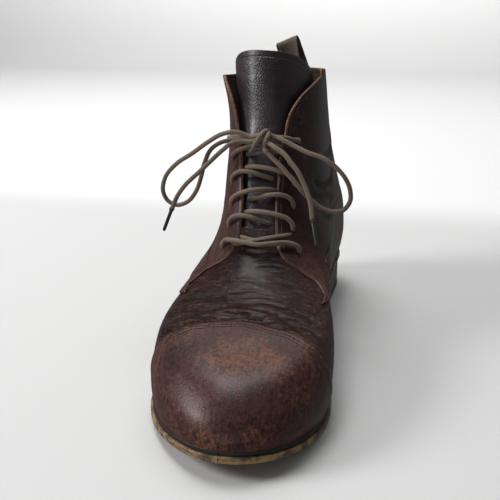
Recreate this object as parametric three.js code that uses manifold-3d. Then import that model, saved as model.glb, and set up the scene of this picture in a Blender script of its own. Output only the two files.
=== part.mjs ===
// Lace-up leather ankle boot, right foot. Millimetres, +Z up, toe towards -Y, big toe side towards +X.
// The origin is on the floor under the middle of the outsole.
import * as THREE from "three";
import { mergeVertices } from "three/addons/utils/BufferGeometryUtils.js";
import Module from "manifold-3d";

const wasm = await Module();
wasm.setup();

// Driving dimensions
const LENGTH = 296; // outsole, toe to heel
const BALL_WIDTH = 102; // widths are shares of this; the outsole is 4 mm narrower at the ball
const SHAFT_HEIGHT = 158; // floor to the collar at the back
const HEEL_HEIGHT = 23.3; // floor to the underside of the outsole at the back
const TOE_SPRING = 9.2; // floor to the underside of the outsole at the toe
const OUTSOLE = 3.2;
const WELT = 1.4;
const INSOLE = 3;
const TOP_PIECE = 5; // rubber lift under the heel
const OUTSOLE_MARGIN = 2.6; // outsole beyond the upper
const WELT_MARGIN = 1.4;
const HEEL_MARGIN = 1.2;
const WALL = 2.4; // leather and lining
const TONGUE_WALL = 2;
const CAP_STEP = 0.9; // toe cap over the vamp
const QUARTER_STEP = 1.2; // quarters over the vamp
const BACK_STEP = 0.6; // back panel over the quarters
const EYELET_HOLE = 4;
const EYELET_INSET = 8.5; // hole centre to the edge of the facing
const LACE = 2.6;
const AGLET = 15; // length of the tip on a lace's end
const TAB_WIDTH = 15;
const TAB_WALL = 1.6;
const CLEAR = 0.3; // between pieces that touch

// Sections of the upper, from the feather line (row 0) to the collar. frontY, backY: shares of LENGTH
// from the toe. frontRise, backRise: above the line through the feather at toe and heel, shares of the
// upper's height. nose, tail: length of the rounded ends, shares of LENGTH. lean: sideways, drop: of the
// lateral side, shares of BALL_WIDTH.
const COLUMNS = ["frontY", "frontRise", "backY", "backRise", "nose", "tail", "lean", "drop"];
const SECTIONS = [
  [0.0095, 0, 0.9905, 0, 0.225, 0.12, 0, 0],
  [0.0078, 0.043, 0.9895, 0.049, 0.223, 0.12, 0, 0],
  [0.0285, 0.108, 0.99, 0.134, 0.215, 0.12, 0, 0],
  [0.079, 0.172, 0.987, 0.232, 0.23, 0.12, 0, 0],
  [0.17, 0.202, 0.982, 0.331, 0.27, 0.12, 0, 0],
  [0.31, 0.263, 0.972, 0.429, 0.29, 0.12, -0.005, 0],
  [0.42, 0.398, 0.963, 0.54, 0.28, 0.13, -0.02, 0],
  [0.5, 0.591, 0.957, 0.663, 0.22, 0.14, -0.045, 0],
  [0.575, 0.826, 0.955, 0.821, 0.18, 0.15, -0.07, 0.015],
  [0.605, 1.08, 0.956, 1.004, 0.16, 0.16, -0.1, 0.04],
];
// Half widths of the same sections as shares of BALL_WIDTH, one column for each station along the foot
const STATIONS = [0, 0.12, 0.28, 0.45, 0.62, 0.78, 0.93, 1];
const LATERAL = [
  [0.365, 0.415, 0.43, 0.395, 0.33, 0.3, 0.295, 0.29],
  [0.375, 0.425, 0.445, 0.4, 0.335, 0.305, 0.3, 0.295],
  [0.375, 0.425, 0.44, 0.395, 0.34, 0.315, 0.31, 0.3],
  [0.36, 0.41, 0.422, 0.375, 0.335, 0.31, 0.305, 0.295],
  [0.365, 0.395, 0.385, 0.345, 0.32, 0.3, 0.295, 0.285],
  [0.365, 0.38, 0.365, 0.325, 0.305, 0.285, 0.275, 0.265],
  [0.355, 0.365, 0.36, 0.325, 0.3, 0.275, 0.26, 0.26],
  [0.34, 0.34, 0.335, 0.315, 0.295, 0.28, 0.26, 0.26],
  [0.325, 0.325, 0.32, 0.315, 0.3, 0.29, 0.27, 0.27],
  [0.325, 0.325, 0.325, 0.32, 0.315, 0.3, 0.285, 0.285],
];
const MEDIAL = [
  [0.39, 0.42, 0.45, 0.345, 0.29, 0.285, 0.29, 0.29],
  [0.415, 0.44, 0.475, 0.36, 0.3, 0.295, 0.305, 0.3],
  [0.42, 0.445, 0.48, 0.375, 0.315, 0.31, 0.315, 0.3],
  [0.41, 0.44, 0.472, 0.385, 0.32, 0.315, 0.31, 0.3],
  [0.42, 0.44, 0.465, 0.39, 0.325, 0.31, 0.3, 0.29],
  [0.42, 0.43, 0.45, 0.39, 0.33, 0.3, 0.28, 0.27],
  [0.41, 0.41, 0.43, 0.38, 0.32, 0.29, 0.265, 0.26],
  [0.365, 0.365, 0.355, 0.335, 0.305, 0.285, 0.26, 0.26],
  [0.32, 0.32, 0.32, 0.31, 0.295, 0.285, 0.27, 0.27],
  [0.3, 0.3, 0.3, 0.295, 0.29, 0.285, 0.275, 0.275],
];
// Sideways swing of the middle of the foot: share of LENGTH, share of BALL_WIDTH
const SWING = [
  [0, 0.1078],
  [0.12, 0.0735],
  [0.28, 0.0147],
  [0.45, -0.0049],
  [0.7, 0],
  [1, 0],
];
// Underside of the outsole: share of LENGTH, share of TOE_SPRING, share of HEEL_HEIGHT
const UNDERSIDE = [
  [0, 1, 0],
  [0.1, 0.4, 0],
  [0.25, 0, 0],
  [0.36, 0, 0],
  [0.5, 0, 0.28],
  [0.62, 0, 0.61],
  [0.72, 0, 0.84],
  [0.85, 0, 0.955],
  [1, 0, 1],
];
const HEEL_BREAST = 0.745; // share of LENGTH
// Edges of the facings from the quarters' front corners up to the collar:
// share of SHAFT_HEIGHT, lateral and medial shares of BALL_WIDTH
const FACINGS = [
  [0.307, -0.4, 0.406],
  [0.319, -0.371, 0.373],
  [0.339, -0.33, 0.324],
  [0.361, -0.278, 0.25],
  [0.38, -0.23, 0.2],
  [0.402, -0.186, 0.142],
  [0.424, -0.161, 0.103],
  [0.452, -0.147, 0.075],
  [0.5, -0.149, 0.054],
  [0.561, -0.155, 0.034],
  [0.637, -0.181, 0.027],
  [0.7, -0.203, 0.019],
  [0.789, -0.25, 0.025],
  [0.875, -0.292, 0.044],
  [0.932, -0.328, 0.09],
  [0.976, -0.372, 0.145],
  [1.013, -0.412, 0.177],
];
const THROAT = 0.43; // height of the vamp's upper edge, share of SHAFT_HEIGHT
// Lower front edge of the quarters on the sides, then the front edge of the back panel above it:
// shares of LENGTH from the middle, shares of SHAFT_HEIGHT
const LOWER_EDGE = [
  [0.068, 0.04],
  [-0.017, 0.19],
  [-0.1, 0.253],
  [-0.174, 0.307],
];
const PANEL_EDGE = [
  [-0.168, 0.307],
  [-0.095, 0.335],
  [-0.02, 0.38],
  [0.045, 0.475],
  [0.095, 0.6],
  [0.135, 0.76],
  [0.165, 0.92],
  [0.185, 1.05],
];
// Rear edge of the toe cap: an arc in plan, shares of LENGTH from the middle and of BALL_WIDTH
const CAP = { back: -0.272, bow: 0.057, middle: 0.03, half: 0.44 };
// Heights of the eyelets, shares of SHAFT_HEIGHT
const EYELETS = [0.42, 0.481, 0.549, 0.62, 0.692, 0.765, 0.84];
const LACED = 6; // the top pair stays empty
// Tongue: half angle around the front at rows of SECTIONS, and how far it stands in from the wall
const TONGUE = { from: 5.2, top: 9.38, lateralDrop: 0.18, medialDrop: 0.38 };
const TONGUE_SPREAD = [
  [5.2, 30, 0],
  [6, 38, 0.2],
  [7.4, 45, 0.6],
  [8.4, 56, 1.8],
  [9.4, 66, 3.5],
];
// Pull tab: its legs below and its fold above the collar, shift to the medial side, degrees of tilt
const TAB = { leg: 22, rise: 20, shift: 2.2, slack: 1, tilt: 22 };

// Free laces, millimetres
const KNOT = { at: [-9.5, 13.5, 124.8], size: [6, 4, 5.2] };
const LATERAL_LOOP = [
  [-15.5, 12, 125.9],
  [-25, 11, 128.7],
  [-33.1, 11, 127],
  [-41.7, 12, 122],
  [-52.5, 14, 114.3],
  [-64.3, 16, 106.4],
  [-72.4, 18, 96.8],
  [-74.3, 19, 88.1],
  [-71.7, 20, 82],
  [-66, 20, 79.5],
  [-58.2, 20, 82.2],
  [-52.7, 20, 89.1],
  [-48.9, 19, 98.6],
  [-45.5, 17, 109],
  [-41.1, 16, 117],
  [-34.1, 15.5, 121.6],
  [-26, 15, 123.2],
  [-16.2, 15, 122.8],
];
const LATERAL_END = [
  [-15.9, 10.2, 123.2],
  [-25.1, 8.5, 122.9],
  [-32.2, 8, 117.7],
  [-38.7, 8, 111.6],
  [-45.1, 8, 105.5],
  [-56.8, 9, 94.4],
  [-61.6, 10, 88],
  [-66.2, 11, 78.5],
];
const MEDIAL_LOOP = [
  [-3, 13.4, 126.8],
  [2.5, 11.6, 125.6],
  [10.3, 11, 122.1],
  [19.1, 10, 118.4],
  [28.4, 10, 115.4],
  [34.5, 11, 111.4],
  [40.7, 12, 104.9],
  [44.4, 14, 96.4],
  [44.7, 14, 89.9],
  [40.4, 13, 83.9],
  [35, 11, 83.5],
  [28.1, 9, 85.9],
  [22.9, 7, 90.4],
  [18.4, 4.4, 95.5],
  [14.7, 3.6, 100],
  [10, 3.9, 104.9],
  [4.8, 4.9, 110.2],
  [-0.4, 6.4, 114.4],
  [-5, 7.6, 118.4],
];
const MEDIAL_END = [
  [-5.2, 9.3, 123.8],
  [1, 5.6, 121.2],
  [6.4, 3.4, 118.3],
  [10.9, 2, 113.5],
  [15.1, 0.8, 108.8],
  [19.1, 0, 101.5],
  [22.7, -2, 93.8],
  [25.5, -5.5, 81.6],
];
// Directions of the tips
const LATERAL_TIP = [-5.4, 1, -12.8];
const MEDIAL_TIP = [4.4, -9.4, -14.1];

// Mesh fineness
const ROUND = 52;
const LEVELS = [0, 0.4, 0.9, 1.4, 1.9, 2.4, 2.9, 3.4, 3.9, 4.5, 5.1, 5.7, 6.3, 6.9, 7.5, 8.1, 8.6, 9];
const INNER_ROUND = 40;
const INNER_LEVELS = [0, 0.7, 1.5, 2.3, 3.1, 3.9, 4.8, 5.7, 6.6, 7.5, 8.3, 9];
const OUTSIDE = 400; // reach of a cutter past the boot
const REAR_LIMIT = 60; // the throat's cutter stops here, inside the shaft

const column = (table, i) => table.map((row) => row[i]);
const mix = (a, b, t) => a + (b - a) * t;
const clamp = THREE.MathUtils.clamp;
const vec = (p) => new THREE.Vector3(...p);

// Smooth curve through values at uneven places, with slopes weighted by the steps on both sides
function smooth(places, values, at) {
  const last = places.length - 1;
  const slope = (i) => (values[i + 1] - values[i]) / (places[i + 1] - places[i]);
  const tangent = (i) => {
    if (i === 0) return slope(0);
    if (i === last) return slope(last - 1);
    const before = places[i] - places[i - 1];
    const after = places[i + 1] - places[i];
    return (slope(i - 1) * after + slope(i) * before) / (before + after);
  };
  const x = clamp(at, places[0], places[last]);
  let k = 0;
  while (k < last - 1 && x >= places[k + 1]) k += 1;
  const step = places[k + 1] - places[k];
  const t = (x - places[k]) / step;
  const rise = t * t * (3 - 2 * t);
  return (
    mix(values[k], values[k + 1], rise) +
    step * tangent(k) * t * (1 - t) * (1 - t) -
    step * tangent(k + 1) * t * t * (1 - t)
  );
}
const lookUp = (table, i, at) => smooth(column(table, 0), column(table, i), at);

// Heights of the sole's layers at a share of the length from the toe
function underside(share) {
  const spring = lookUp(UNDERSIDE, 1, share) * TOE_SPRING;
  const heel = lookUp(UNDERSIDE, 2, share) * HEEL_HEIGHT;
  return Math.max(0, spring) + Math.max(0, heel);
}
const weltBottom = (share) => underside(share) + OUTSOLE + CLEAR;
const feather = (share) => weltBottom(share) + WELT + CLEAR;
const UPPER_HEIGHT = SHAFT_HEIGHT - feather(1);

const shareOf = (y) => y / LENGTH + 0.5;
const rounded = (t) => Math.sqrt(1 - (1 - clamp(t, 0, 1)) ** 2);
const rowIndex = SECTIONS.map((_, i) => i);

// A point of the upper's outside at a row of the sections and an angle around it, 0 at the front,
// positive on the medial side. Rows past the last one go on in a straight line.
function plainPoint(row, angle) {
  const top = SECTIONS.length - 1;
  if (row > top) {
    const end = plainPoint(top, angle);
    const below = plainPoint(top - 0.25, angle);
    return end.clone().addScaledVector(end.clone().sub(below), (row - top) / 0.25);
  }
  const at = {};
  COLUMNS.forEach((name, i) => (at[name] = smooth(rowIndex, column(SECTIONS, i), row)));
  const along = (1 - Math.cos(angle)) / 2;
  const share = mix(at.frontY, at.backY, along);
  const side = Math.sin(angle) >= 0 ? 1 : -1;
  const widths = side > 0 ? MEDIAL : LATERAL;
  const half = smooth(
    STATIONS,
    STATIONS.map((_, i) => smooth(rowIndex, column(widths, i), row)),
    share,
  );
  const ends = rounded((share - at.frontY) / at.nose) * rounded((at.backY - share) / at.tail);
  const follow = clamp(1 - row / 4, 0, 1) ** 1.5;
  const base = mix(feather(0), feather(1), share);
  const x = side * half * ends + lookUp(SWING, 1, share) + at.lean;
  const rise = mix(at.frontRise, at.backRise, along) * UPPER_HEIGHT;
  const drop = at.drop * BALL_WIDTH * Math.max(0, -Math.sin(angle));
  return new THREE.Vector3(
    x * BALL_WIDTH,
    (share - 0.5) * LENGTH,
    base + follow * (feather(share) - base) + rise - drop,
  );
}

// Outward direction; level at the feather line, so that every offset form starts at the same height
function outward(row, angle) {
  const step = 0.01;
  const low = Math.max(0, row - step);
  const around = plainPoint(row, angle + step).sub(plainPoint(row, angle - step));
  const up = plainPoint(row + step, angle).sub(plainPoint(low, angle));
  const normal = around.cross(up).normalize();
  normal.z *= Math.min(1, row);
  return normal.normalize();
}
const rawSkin = (row, angle, grow) =>
  plainPoint(row, angle).addScaledVector(outward(row, angle), grow);

const ringAngles = (count) => Array.from({ length: count }, (_, i) => (i * 2 * Math.PI) / count);
const edgeXs = ringAngles(ROUND * 4).map((angle) => rawSkin(0, angle, OUTSOLE_MARGIN).x);
const MIDDLE = (Math.max(...edgeXs) + Math.min(...edgeXs)) / 2;

// The same surface with the outsole centred on the origin
function skin(row, angle, grow = 0) {
  const point = rawSkin(row, angle, grow);
  point.x -= MIDDLE;
  return point;
}

// Closed body from rings of points; mates are the ring's opposite points that share a cross edge
function loft(rings, mate) {
  const count = rings[0].length;
  const positions = rings.flat().flatMap((p) => [p.x, p.y, p.z]);
  const faces = [];
  for (let r = 0; r + 1 < rings.length; r++)
    for (let i = 0; i < count; i++) {
      const a = r * count + i;
      const b = r * count + ((i + 1) % count);
      faces.push(a, b, b + count, a, b + count, a + count);
    }
  const top = (rings.length - 1) * count;
  for (let i = 0; i < Math.floor(count / 2); i++) {
    const [a, b, c, d] = [i, i + 1, mate(i + 1) % count, mate(i) % count];
    for (const [p, q, r] of [[a, b, c], [a, c, d]]) {
      if (p === q || q === r || p === r) continue;
      faces.push(p, r, q, top + p, top + q, top + r);
    }
  }
  return manifold(positions, faces);
}
const acrossRing = (count) => (i) => count - i;
const acrossStrap = (count) => (i) => count - 1 - i;

function manifold(positions, faces) {
  const geometry = new THREE.BufferGeometry();
  geometry.setAttribute("position", new THREE.Float32BufferAttribute(positions, 3));
  geometry.setIndex(faces);
  return solidOf(geometry);
}

function solidOf(geometry) {
  geometry.deleteAttribute("normal");
  geometry.deleteAttribute("uv");
  const merged = mergeVertices(geometry);
  const solid = new wasm.Manifold(
    new wasm.Mesh({
      numProp: 3,
      vertProperties: merged.attributes.position.array,
      triVerts: new Uint32Array(merged.index.array),
    }),
  );
  return solid;
}

function meshOf(name, solid, material) {
  const { vertProperties, triVerts, numProp } = solid.getMesh();
  const interleaved = new THREE.InterleavedBuffer(vertProperties, numProp);
  const indexed = new THREE.BufferGeometry();
  indexed.setAttribute("position", new THREE.InterleavedBufferAttribute(interleaved, 3, 0));
  indexed.setIndex(new THREE.BufferAttribute(triVerts, 1));
  const geometry = indexed.toNonIndexed();
  geometry.computeVertexNormals();
  const mesh = new THREE.Mesh(geometry, material);
  mesh.name = name;
  return mesh;
}

// A cutter: an outline drawn in two of the axes and drawn out along the third
const PLANES = { side: [1, 2, 0], front: [2, 0, 1], plan: [0, 1, 2] };
function prism(plane, outline, from, to) {
  const shape = new THREE.Shape(outline.map(([a, b]) => new THREE.Vector2(a, b)));
  const geometry = new THREE.ExtrudeGeometry(shape, { depth: to - from, bevelEnabled: false });
  geometry.translate(0, 0, from);
  const axes = PLANES[plane].map((axis) => new THREE.Vector3().setComponent(axis, 1));
  geometry.applyMatrix4(new THREE.Matrix4().makeBasis(...axes));
  return solidOf(geometry);
}

// The form inside the outer surface, from below the feather line to the collar
function form(grow) {
  const rings = LEVELS.map((row) => ringAngles(ROUND).map((angle) => skin(row, angle, grow)));
  return loft(rings, acrossRing(ROUND));
}

// The hollow, run out through the bottom and the collar
function hollow() {
  const rings = INNER_LEVELS.map((row) => ringAngles(INNER_ROUND).map((angle) => skin(row, angle, -WALL)));
  const lift = (ring, z) => ring.map((p) => p.clone().add(new THREE.Vector3(0, 0, z)));
  const below = lift(rings[0], -HEEL_HEIGHT);
  const above = lift(rings.at(-1), HEEL_HEIGHT);
  return loft([below, ...rings, above], acrossRing(INNER_ROUND));
}

const scaled = (table, first, second) => table.map(([a, b]) => [a * first, b * second]);
const facingEdges = FACINGS.map(([z, lateral, medial]) => ({
  z: z * SHAFT_HEIGHT,
  lateral: lateral * BALL_WIDTH,
  medial: medial * BALL_WIDTH,
}));
const facingEdge = (side, z) =>
  smooth(
    facingEdges.map((row) => row.z),
    facingEdges.map((row) => row[side]),
    z,
  );

// What the facings leave open, seen from the front: the throat and the vamp below it
function openFront(from) {
  const rows = facingEdges.filter((row) => row.z > from);
  const start = { z: from, lateral: facingEdge("lateral", from), medial: facingEdge("medial", from) };
  const end = { ...rows.at(-1), z: OUTSIDE };
  const up = [start, ...rows, end];
  const medial = up.map((row) => [row.z, row.medial]);
  const lateral = up.map((row) => [row.z, row.lateral]);
  return prism("front", [...medial, ...lateral.reverse()], -OUTSIDE, REAR_LIMIT);
}

function aheadOf(edge) {
  const points = scaled(edge, LENGTH, SHAFT_HEIGHT);
  const [firstY] = points[0];
  const [lastY] = points.at(-1);
  const frame = [[lastY, OUTSIDE], [-OUTSIDE, OUTSIDE], [-OUTSIDE, -OUTSIDE], [firstY, -OUTSIDE]];
  return prism("side", [...points, ...frame], -OUTSIDE, OUTSIDE);
}

function capArea() {
  const xs = Array.from({ length: 13 }, (_, i) => mix(-0.6, 0.6, i / 12));
  const edge = xs.map((x) => [
    x * BALL_WIDTH,
    (CAP.back - CAP.bow * ((x - CAP.middle) / CAP.half) ** 2) * LENGTH,
  ]);
  const front = [[xs.at(-1) * BALL_WIDTH, -OUTSIDE], [xs[0] * BALL_WIDTH, -OUTSIDE]];
  return prism("plan", [...edge, ...front].reverse(), -OUTSIDE, OUTSIDE);
}

// Row and angle of the outer surface where it is met from the front at x and z
function surfaceAt(x, z) {
  const angleAt = (row) => {
    let [low, high] = [-Math.PI / 2, Math.PI / 2];
    for (let i = 0; i < 24; i++) {
      const middle = (low + high) / 2;
      if (skin(row, middle).x < x) low = middle;
      else high = middle;
    }
    return (low + high) / 2;
  };
  let [low, high] = [TONGUE.from - 1, TONGUE.top];
  for (let i = 0; i < 24; i++) {
    const middle = (low + high) / 2;
    if (skin(middle, angleAt(middle)).z < z) low = middle;
    else high = middle;
  }
  return [(low + high) / 2, angleAt((low + high) / 2)];
}
function above(x, z, grow) {
  const [row, angle] = surfaceAt(x, z);
  return skin(row, angle, grow);
}

function eyelet(side, i) {
  const z = EYELETS[i] * SHAFT_HEIGHT;
  const inset = side === "medial" ? EYELET_INSET : -EYELET_INSET;
  return [facingEdge(side, z) + inset, z];
}

function eyeletHole(side, i) {
  const [row, angle] = surfaceAt(...eyelet(side, i));
  const depth = 4 * WALL;
  const cylinder = new THREE.CylinderGeometry(EYELET_HOLE / 2, EYELET_HOLE / 2, depth, 10);
  const turn = new THREE.Quaternion().setFromUnitVectors(new THREE.Vector3(0, 1, 0), outward(row, angle));
  cylinder.applyQuaternion(turn);
  cylinder.translate(...skin(row, angle, -WALL / 2).toArray());
  return solidOf(cylinder);
}

function upper() {
  const corner = FACINGS[0][0] * SHAFT_HEIGHT;
  const lower = [...LOWER_EDGE, [LOWER_EDGE.at(-1)[0], 1]];
  const quarters = form(QUARTER_STEP).subtract(openFront(corner)).subtract(aheadOf(lower));
  const panelFront = [...LOWER_EDGE.slice(0, -1), ...PANEL_EDGE];
  const back = form(QUARTER_STEP + BACK_STEP).subtract(aheadOf(panelFront));
  const cap = form(CAP_STEP).intersect(capArea());
  let solid = form(0).add(quarters).add(back).add(cap);
  solid = solid.subtract(hollow()).subtract(openFront(THROAT * SHAFT_HEIGHT));
  for (const side of ["lateral", "medial"])
    for (let i = 0; i < EYELETS.length; i++) solid = solid.subtract(eyeletHole(side, i));
  return solid;
}

// A layer of the sole: an outline grown from the feather line, between two heights
function layer(margin, bottom, top, from = 0, round = ROUND) {
  const reach = (angle) => shareOf(skin(0, angle, margin).y) >= from;
  const half = ringAngles(round).slice(0, round / 2 + 1);
  const start = half.findIndex(reach);
  const medial = half.slice(Math.max(0, start));
  const outline = [...medial, ...medial.slice(start > 0 ? 0 : 1, -1).map((a) => -a).reverse()];
  const points = outline.map((angle) => skin(0, angle, margin));
  if (start > 0) {
    points[0].y = (from - 0.5) * LENGTH;
    points.at(-1).y = points[0].y;
  }
  const level = (height) => points.map((p) => new THREE.Vector3(p.x, p.y, height(shareOf(p.y))));
  const across = start > 0 ? acrossStrap : acrossRing;
  return loft([level(bottom), level(top)], across(points.length));
}

function tongue() {
  const rowsUp = 9;
  const across = 8;
  const rows = [];
  for (let j = 0; j <= rowsUp; j++) {
    const front = [];
    const back = [];
    for (let i = -across; i <= across; i++) {
      const u = i / across;
      const drop = (u > 0 ? TONGUE.medialDrop : TONGUE.lateralDrop) * u * u;
      const row = mix(TONGUE.from, TONGUE.top - drop, j / rowsUp);
      const spread = THREE.MathUtils.degToRad(lookUp(TONGUE_SPREAD, 1, row));
      const inset = WALL + CLEAR + lookUp(TONGUE_SPREAD, 2, row);
      front.push(skin(row, u * spread, -inset));
      back.push(skin(row, u * spread, -inset - TONGUE_WALL));
    }
    rows.push([...front, ...back.reverse()]);
  }
  return loft(rows, acrossStrap(rows[0].length));
}

// Pull tab: a strap folded over the collar at the back, its legs on both sides of the wall
function pullTab() {
  const collar = SECTIONS.length - 1;
  const outer = QUARTER_STEP + BACK_STEP + CLEAR + TAB.slack;
  const inner = WALL + CLEAR + TAB.slack;
  const middle = (outer - inner) / 2;
  const rowHeight = skin(collar, Math.PI).z - skin(collar - 1, Math.PI).z;
  const bend = skin(collar, Math.PI).distanceTo(skin(collar, Math.PI * 0.9)) / (Math.PI * 0.1);
  const path = (wall) => {
    const side = (outer + inner) / 2 + wall;
    const fold = TAB.rise - (outer + inner) / 2;
    const legs = [-TAB.leg, -TAB.leg / 2, 0];
    const arch = Array.from({ length: 7 }, (_, i) => (i * Math.PI) / 6);
    return [
      ...legs.map((along) => [side, along]),
      ...arch.map((a) => [side * Math.cos(a), fold + side * Math.sin(a)]),
      ...legs.reverse().map((along) => [-side, along]),
    ];
  };
  const tilt = THREE.MathUtils.degToRad(TAB.tilt);
  const rings = [-1, -0.5, 0, 0.5, 1].map((u) => {
    const across = (u * TAB_WIDTH) / 2;
    const place = ([side, along]) => {
      const shift = across * Math.cos(tilt) - along * Math.sin(tilt) + TAB.shift;
      const height = across * Math.sin(tilt) + along * Math.cos(tilt);
      const row = collar + Math.min(0, height / rowHeight);
      const point = skin(row, Math.PI - shift / bend, middle + side);
      point.z += Math.max(0, height);
      return point;
    };
    return [...path(TAB_WALL).map(place), ...path(0).map(place).reverse()];
  });
  return loft(rings, acrossStrap(rings[0].length));
}

// A cord along a smooth curve through points
function cord(points, diameter, steps) {
  const curve = new THREE.CatmullRomCurve3(points);
  const sides = Array.from({ length: 8 }, (_, i) => (i * Math.PI) / 4);
  const radius = diameter / 2;
  const section = new THREE.Shape(
    sides.map((a) => new THREE.Vector2(radius * Math.cos(a), radius * Math.sin(a))),
  );
  return solidOf(new THREE.ExtrudeGeometry(section, { steps, extrudePath: curve }));
}

const RADIUS = LACE / 2;
const ON_QUARTER = QUARTER_STEP + CLEAR + RADIUS;
const IN_THROAT = RADIUS - WALL;

// One visible strand: out of an eyelet, over its facing and down under the other facing's edge
function strand(side, i) {
  const other = side === "medial" ? "lateral" : "medial";
  const towards = side === "medial" ? -1 : 1;
  const [x, z] = eyelet(side, i);
  const next = EYELETS[i + 1] * SHAFT_HEIGHT;
  const low = mix(z, next, 0.35);
  const high = mix(z, next, 0.75);
  const edge = facingEdge(side, low);
  const far = facingEdge(other, high) - towards * (RADIUS + 4 * CLEAR);
  return [
    above(x, z, ON_QUARTER),
    above(mix(x, edge, 0.5), mix(z, low, 0.6), ON_QUARTER + RADIUS),
    above(edge, low, ON_QUARTER + RADIUS),
    above(mix(edge, far, 0.5), mix(low, high, 0.5), ON_QUARTER),
    above(far, high, IN_THROAT),
  ];
}
const crossing = (i) =>
  cord(strand("lateral", i), LACE, 8).add(cord(strand("medial", i), LACE, 8));

// The bottom row: a bar over the facings, and the strands that cross low behind it
function bar() {
  const [left, z] = eyelet("lateral", 0);
  const [right] = eyelet("medial", 0);
  const arch = [0, 0.14, 0.32, 0.5, 0.68, 0.86, 1];
  const points = arch.map((t) => {
    const hump = Math.sin(Math.PI * t);
    return above(mix(left, right, t), z + 2.2 * hump, ON_QUARTER + RADIUS * Math.min(1, 2 * hump));
  });
  return cord(points, LACE, 14);
}

function lowCross() {
  const z = EYELETS[0] * SHAFT_HEIGHT;
  const next = EYELETS[1] * SHAFT_HEIGHT;
  const inset = RADIUS + 4 * CLEAR;
  const from = mix(z, next, 0.42);
  const to = mix(z, next, 0.9);
  const run = (a, b) => {
    const start = facingEdge(a, from) + (a === "lateral" ? inset : -inset);
    const end = facingEdge(b, to) + (b === "lateral" ? inset : -inset);
    const middle = above(mix(start, end, 0.5), mix(from, to, 0.5), IN_THROAT + RADIUS / 2);
    return cord([above(start, from, IN_THROAT), middle, above(end, to, IN_THROAT)], LACE, 6);
  };
  return run("lateral", "medial").add(run("medial", "lateral"));
}

// The last strands run from the top laced eyelets to the knot
function toKnot(side) {
  const [x, z] = eyelet(side, LACED - 1);
  const edge = facingEdge(side, z);
  const knot = vec(KNOT.at);
  const towards = side === "medial" ? 1 : -1;
  const reach = KNOT.size[1] + RADIUS + CLEAR;
  const end = knot.clone().add(new THREE.Vector3(towards * RADIUS * 2, reach, 0));
  const rise = ON_QUARTER + RADIUS;
  const halfway = above(mix(x, edge, 0.5), z, rise);
  const over = above(edge, mix(z, knot.z, 0.5), rise);
  return cord([above(x, z, ON_QUARTER + CLEAR), halfway, over, end], LACE, 8);
}

function knot() {
  const ball = new THREE.SphereGeometry(1, 12, 8);
  ball.scale(...KNOT.size);
  ball.translate(...KNOT.at);
  return solidOf(ball);
}

function aglet(route, tip) {
  const end = vec(route.at(-1));
  const direction = vec(tip).normalize();
  const start = end.clone().addScaledVector(direction, 2 * CLEAR);
  return cord([start, start.clone().addScaledVector(direction, AGLET)], LACE, 1);
}

const leather = new THREE.MeshStandardMaterial({ color: 0x3c2826, roughness: 0.45 });
const lining = new THREE.MeshStandardMaterial({ color: 0x8a6a4c, roughness: 0.7 });
const soleEdge = new THREE.MeshStandardMaterial({ color: 0x96733c, roughness: 0.8 });
const darkEdge = new THREE.MeshStandardMaterial({ color: 0x191412, roughness: 0.7 });
const rubber = new THREE.MeshStandardMaterial({ color: 0x1c1a19, roughness: 0.85 });
const lace = new THREE.MeshStandardMaterial({ color: 0x645546, roughness: 0.7 });
const tipMaterial = new THREE.MeshStandardMaterial({ color: 0x3a3530, roughness: 0.3 });

const boot = new THREE.Group();
const put = (name, solid, material) => boot.add(meshOf(name, solid, material));

const heelTop = (share) => underside(share) - CLEAR;
const topPieceTop = () => TOP_PIECE;
put("outsole", layer(OUTSOLE_MARGIN, underside, (s) => underside(s) + OUTSOLE), soleEdge);
put("welt", layer(WELT_MARGIN, weltBottom, (s) => weltBottom(s) + WELT), darkEdge);
put("heel_stack", layer(HEEL_MARGIN, () => TOP_PIECE + CLEAR, heelTop, HEEL_BREAST), soleEdge);
put("heel_top_piece", layer(HEEL_MARGIN, () => 0, topPieceTop, HEEL_BREAST), rubber);
const insoleTop = (s) => feather(s) + INSOLE;
put("insole", layer(-WALL - CLEAR, feather, insoleTop, 0, INNER_ROUND), lining);
put("upper", upper(), leather);
put("tongue", tongue(), leather);
put("pull_tab", pullTab(), leather);

put("lace_bar", bar(), lace);
put("lace_low_cross", lowCross(), lace);
for (let i = 1; i + 1 < LACED; i++) put("lace_cross_" + i, crossing(i), lace);
put("lace_to_knot_lateral", toKnot("lateral"), lace);
put("lace_to_knot_medial", toKnot("medial"), lace);
put("lace_knot", knot(), lace);
put("lace_loop_lateral", cord(LATERAL_LOOP.map(vec), LACE, 30), lace);
put("lace_loop_medial", cord(MEDIAL_LOOP.map(vec), LACE, 28), lace);
put("lace_end_lateral", cord(LATERAL_END.map(vec), LACE, 11), lace);
put("lace_end_medial", cord(MEDIAL_END.map(vec), LACE, 11), lace);
put("aglet_lateral", aglet(LATERAL_END, LATERAL_TIP), tipMaterial);
put("aglet_medial", aglet(MEDIAL_END, MEDIAL_TIP), tipMaterial);

export default boot;
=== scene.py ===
"""Looks of a worn brown leather lace-up ankle boot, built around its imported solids.

Shapes are worked out in millimetres and put into meshes in metres. +Z is up, the toe points to -Y and
the big toe's side is +X. "Row" counts the sections of the upper from the feather line (0) to the collar
(9), and "angle" goes around it from the middle of the toe, positive on the medial side.
"""

import functools
import math

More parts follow.
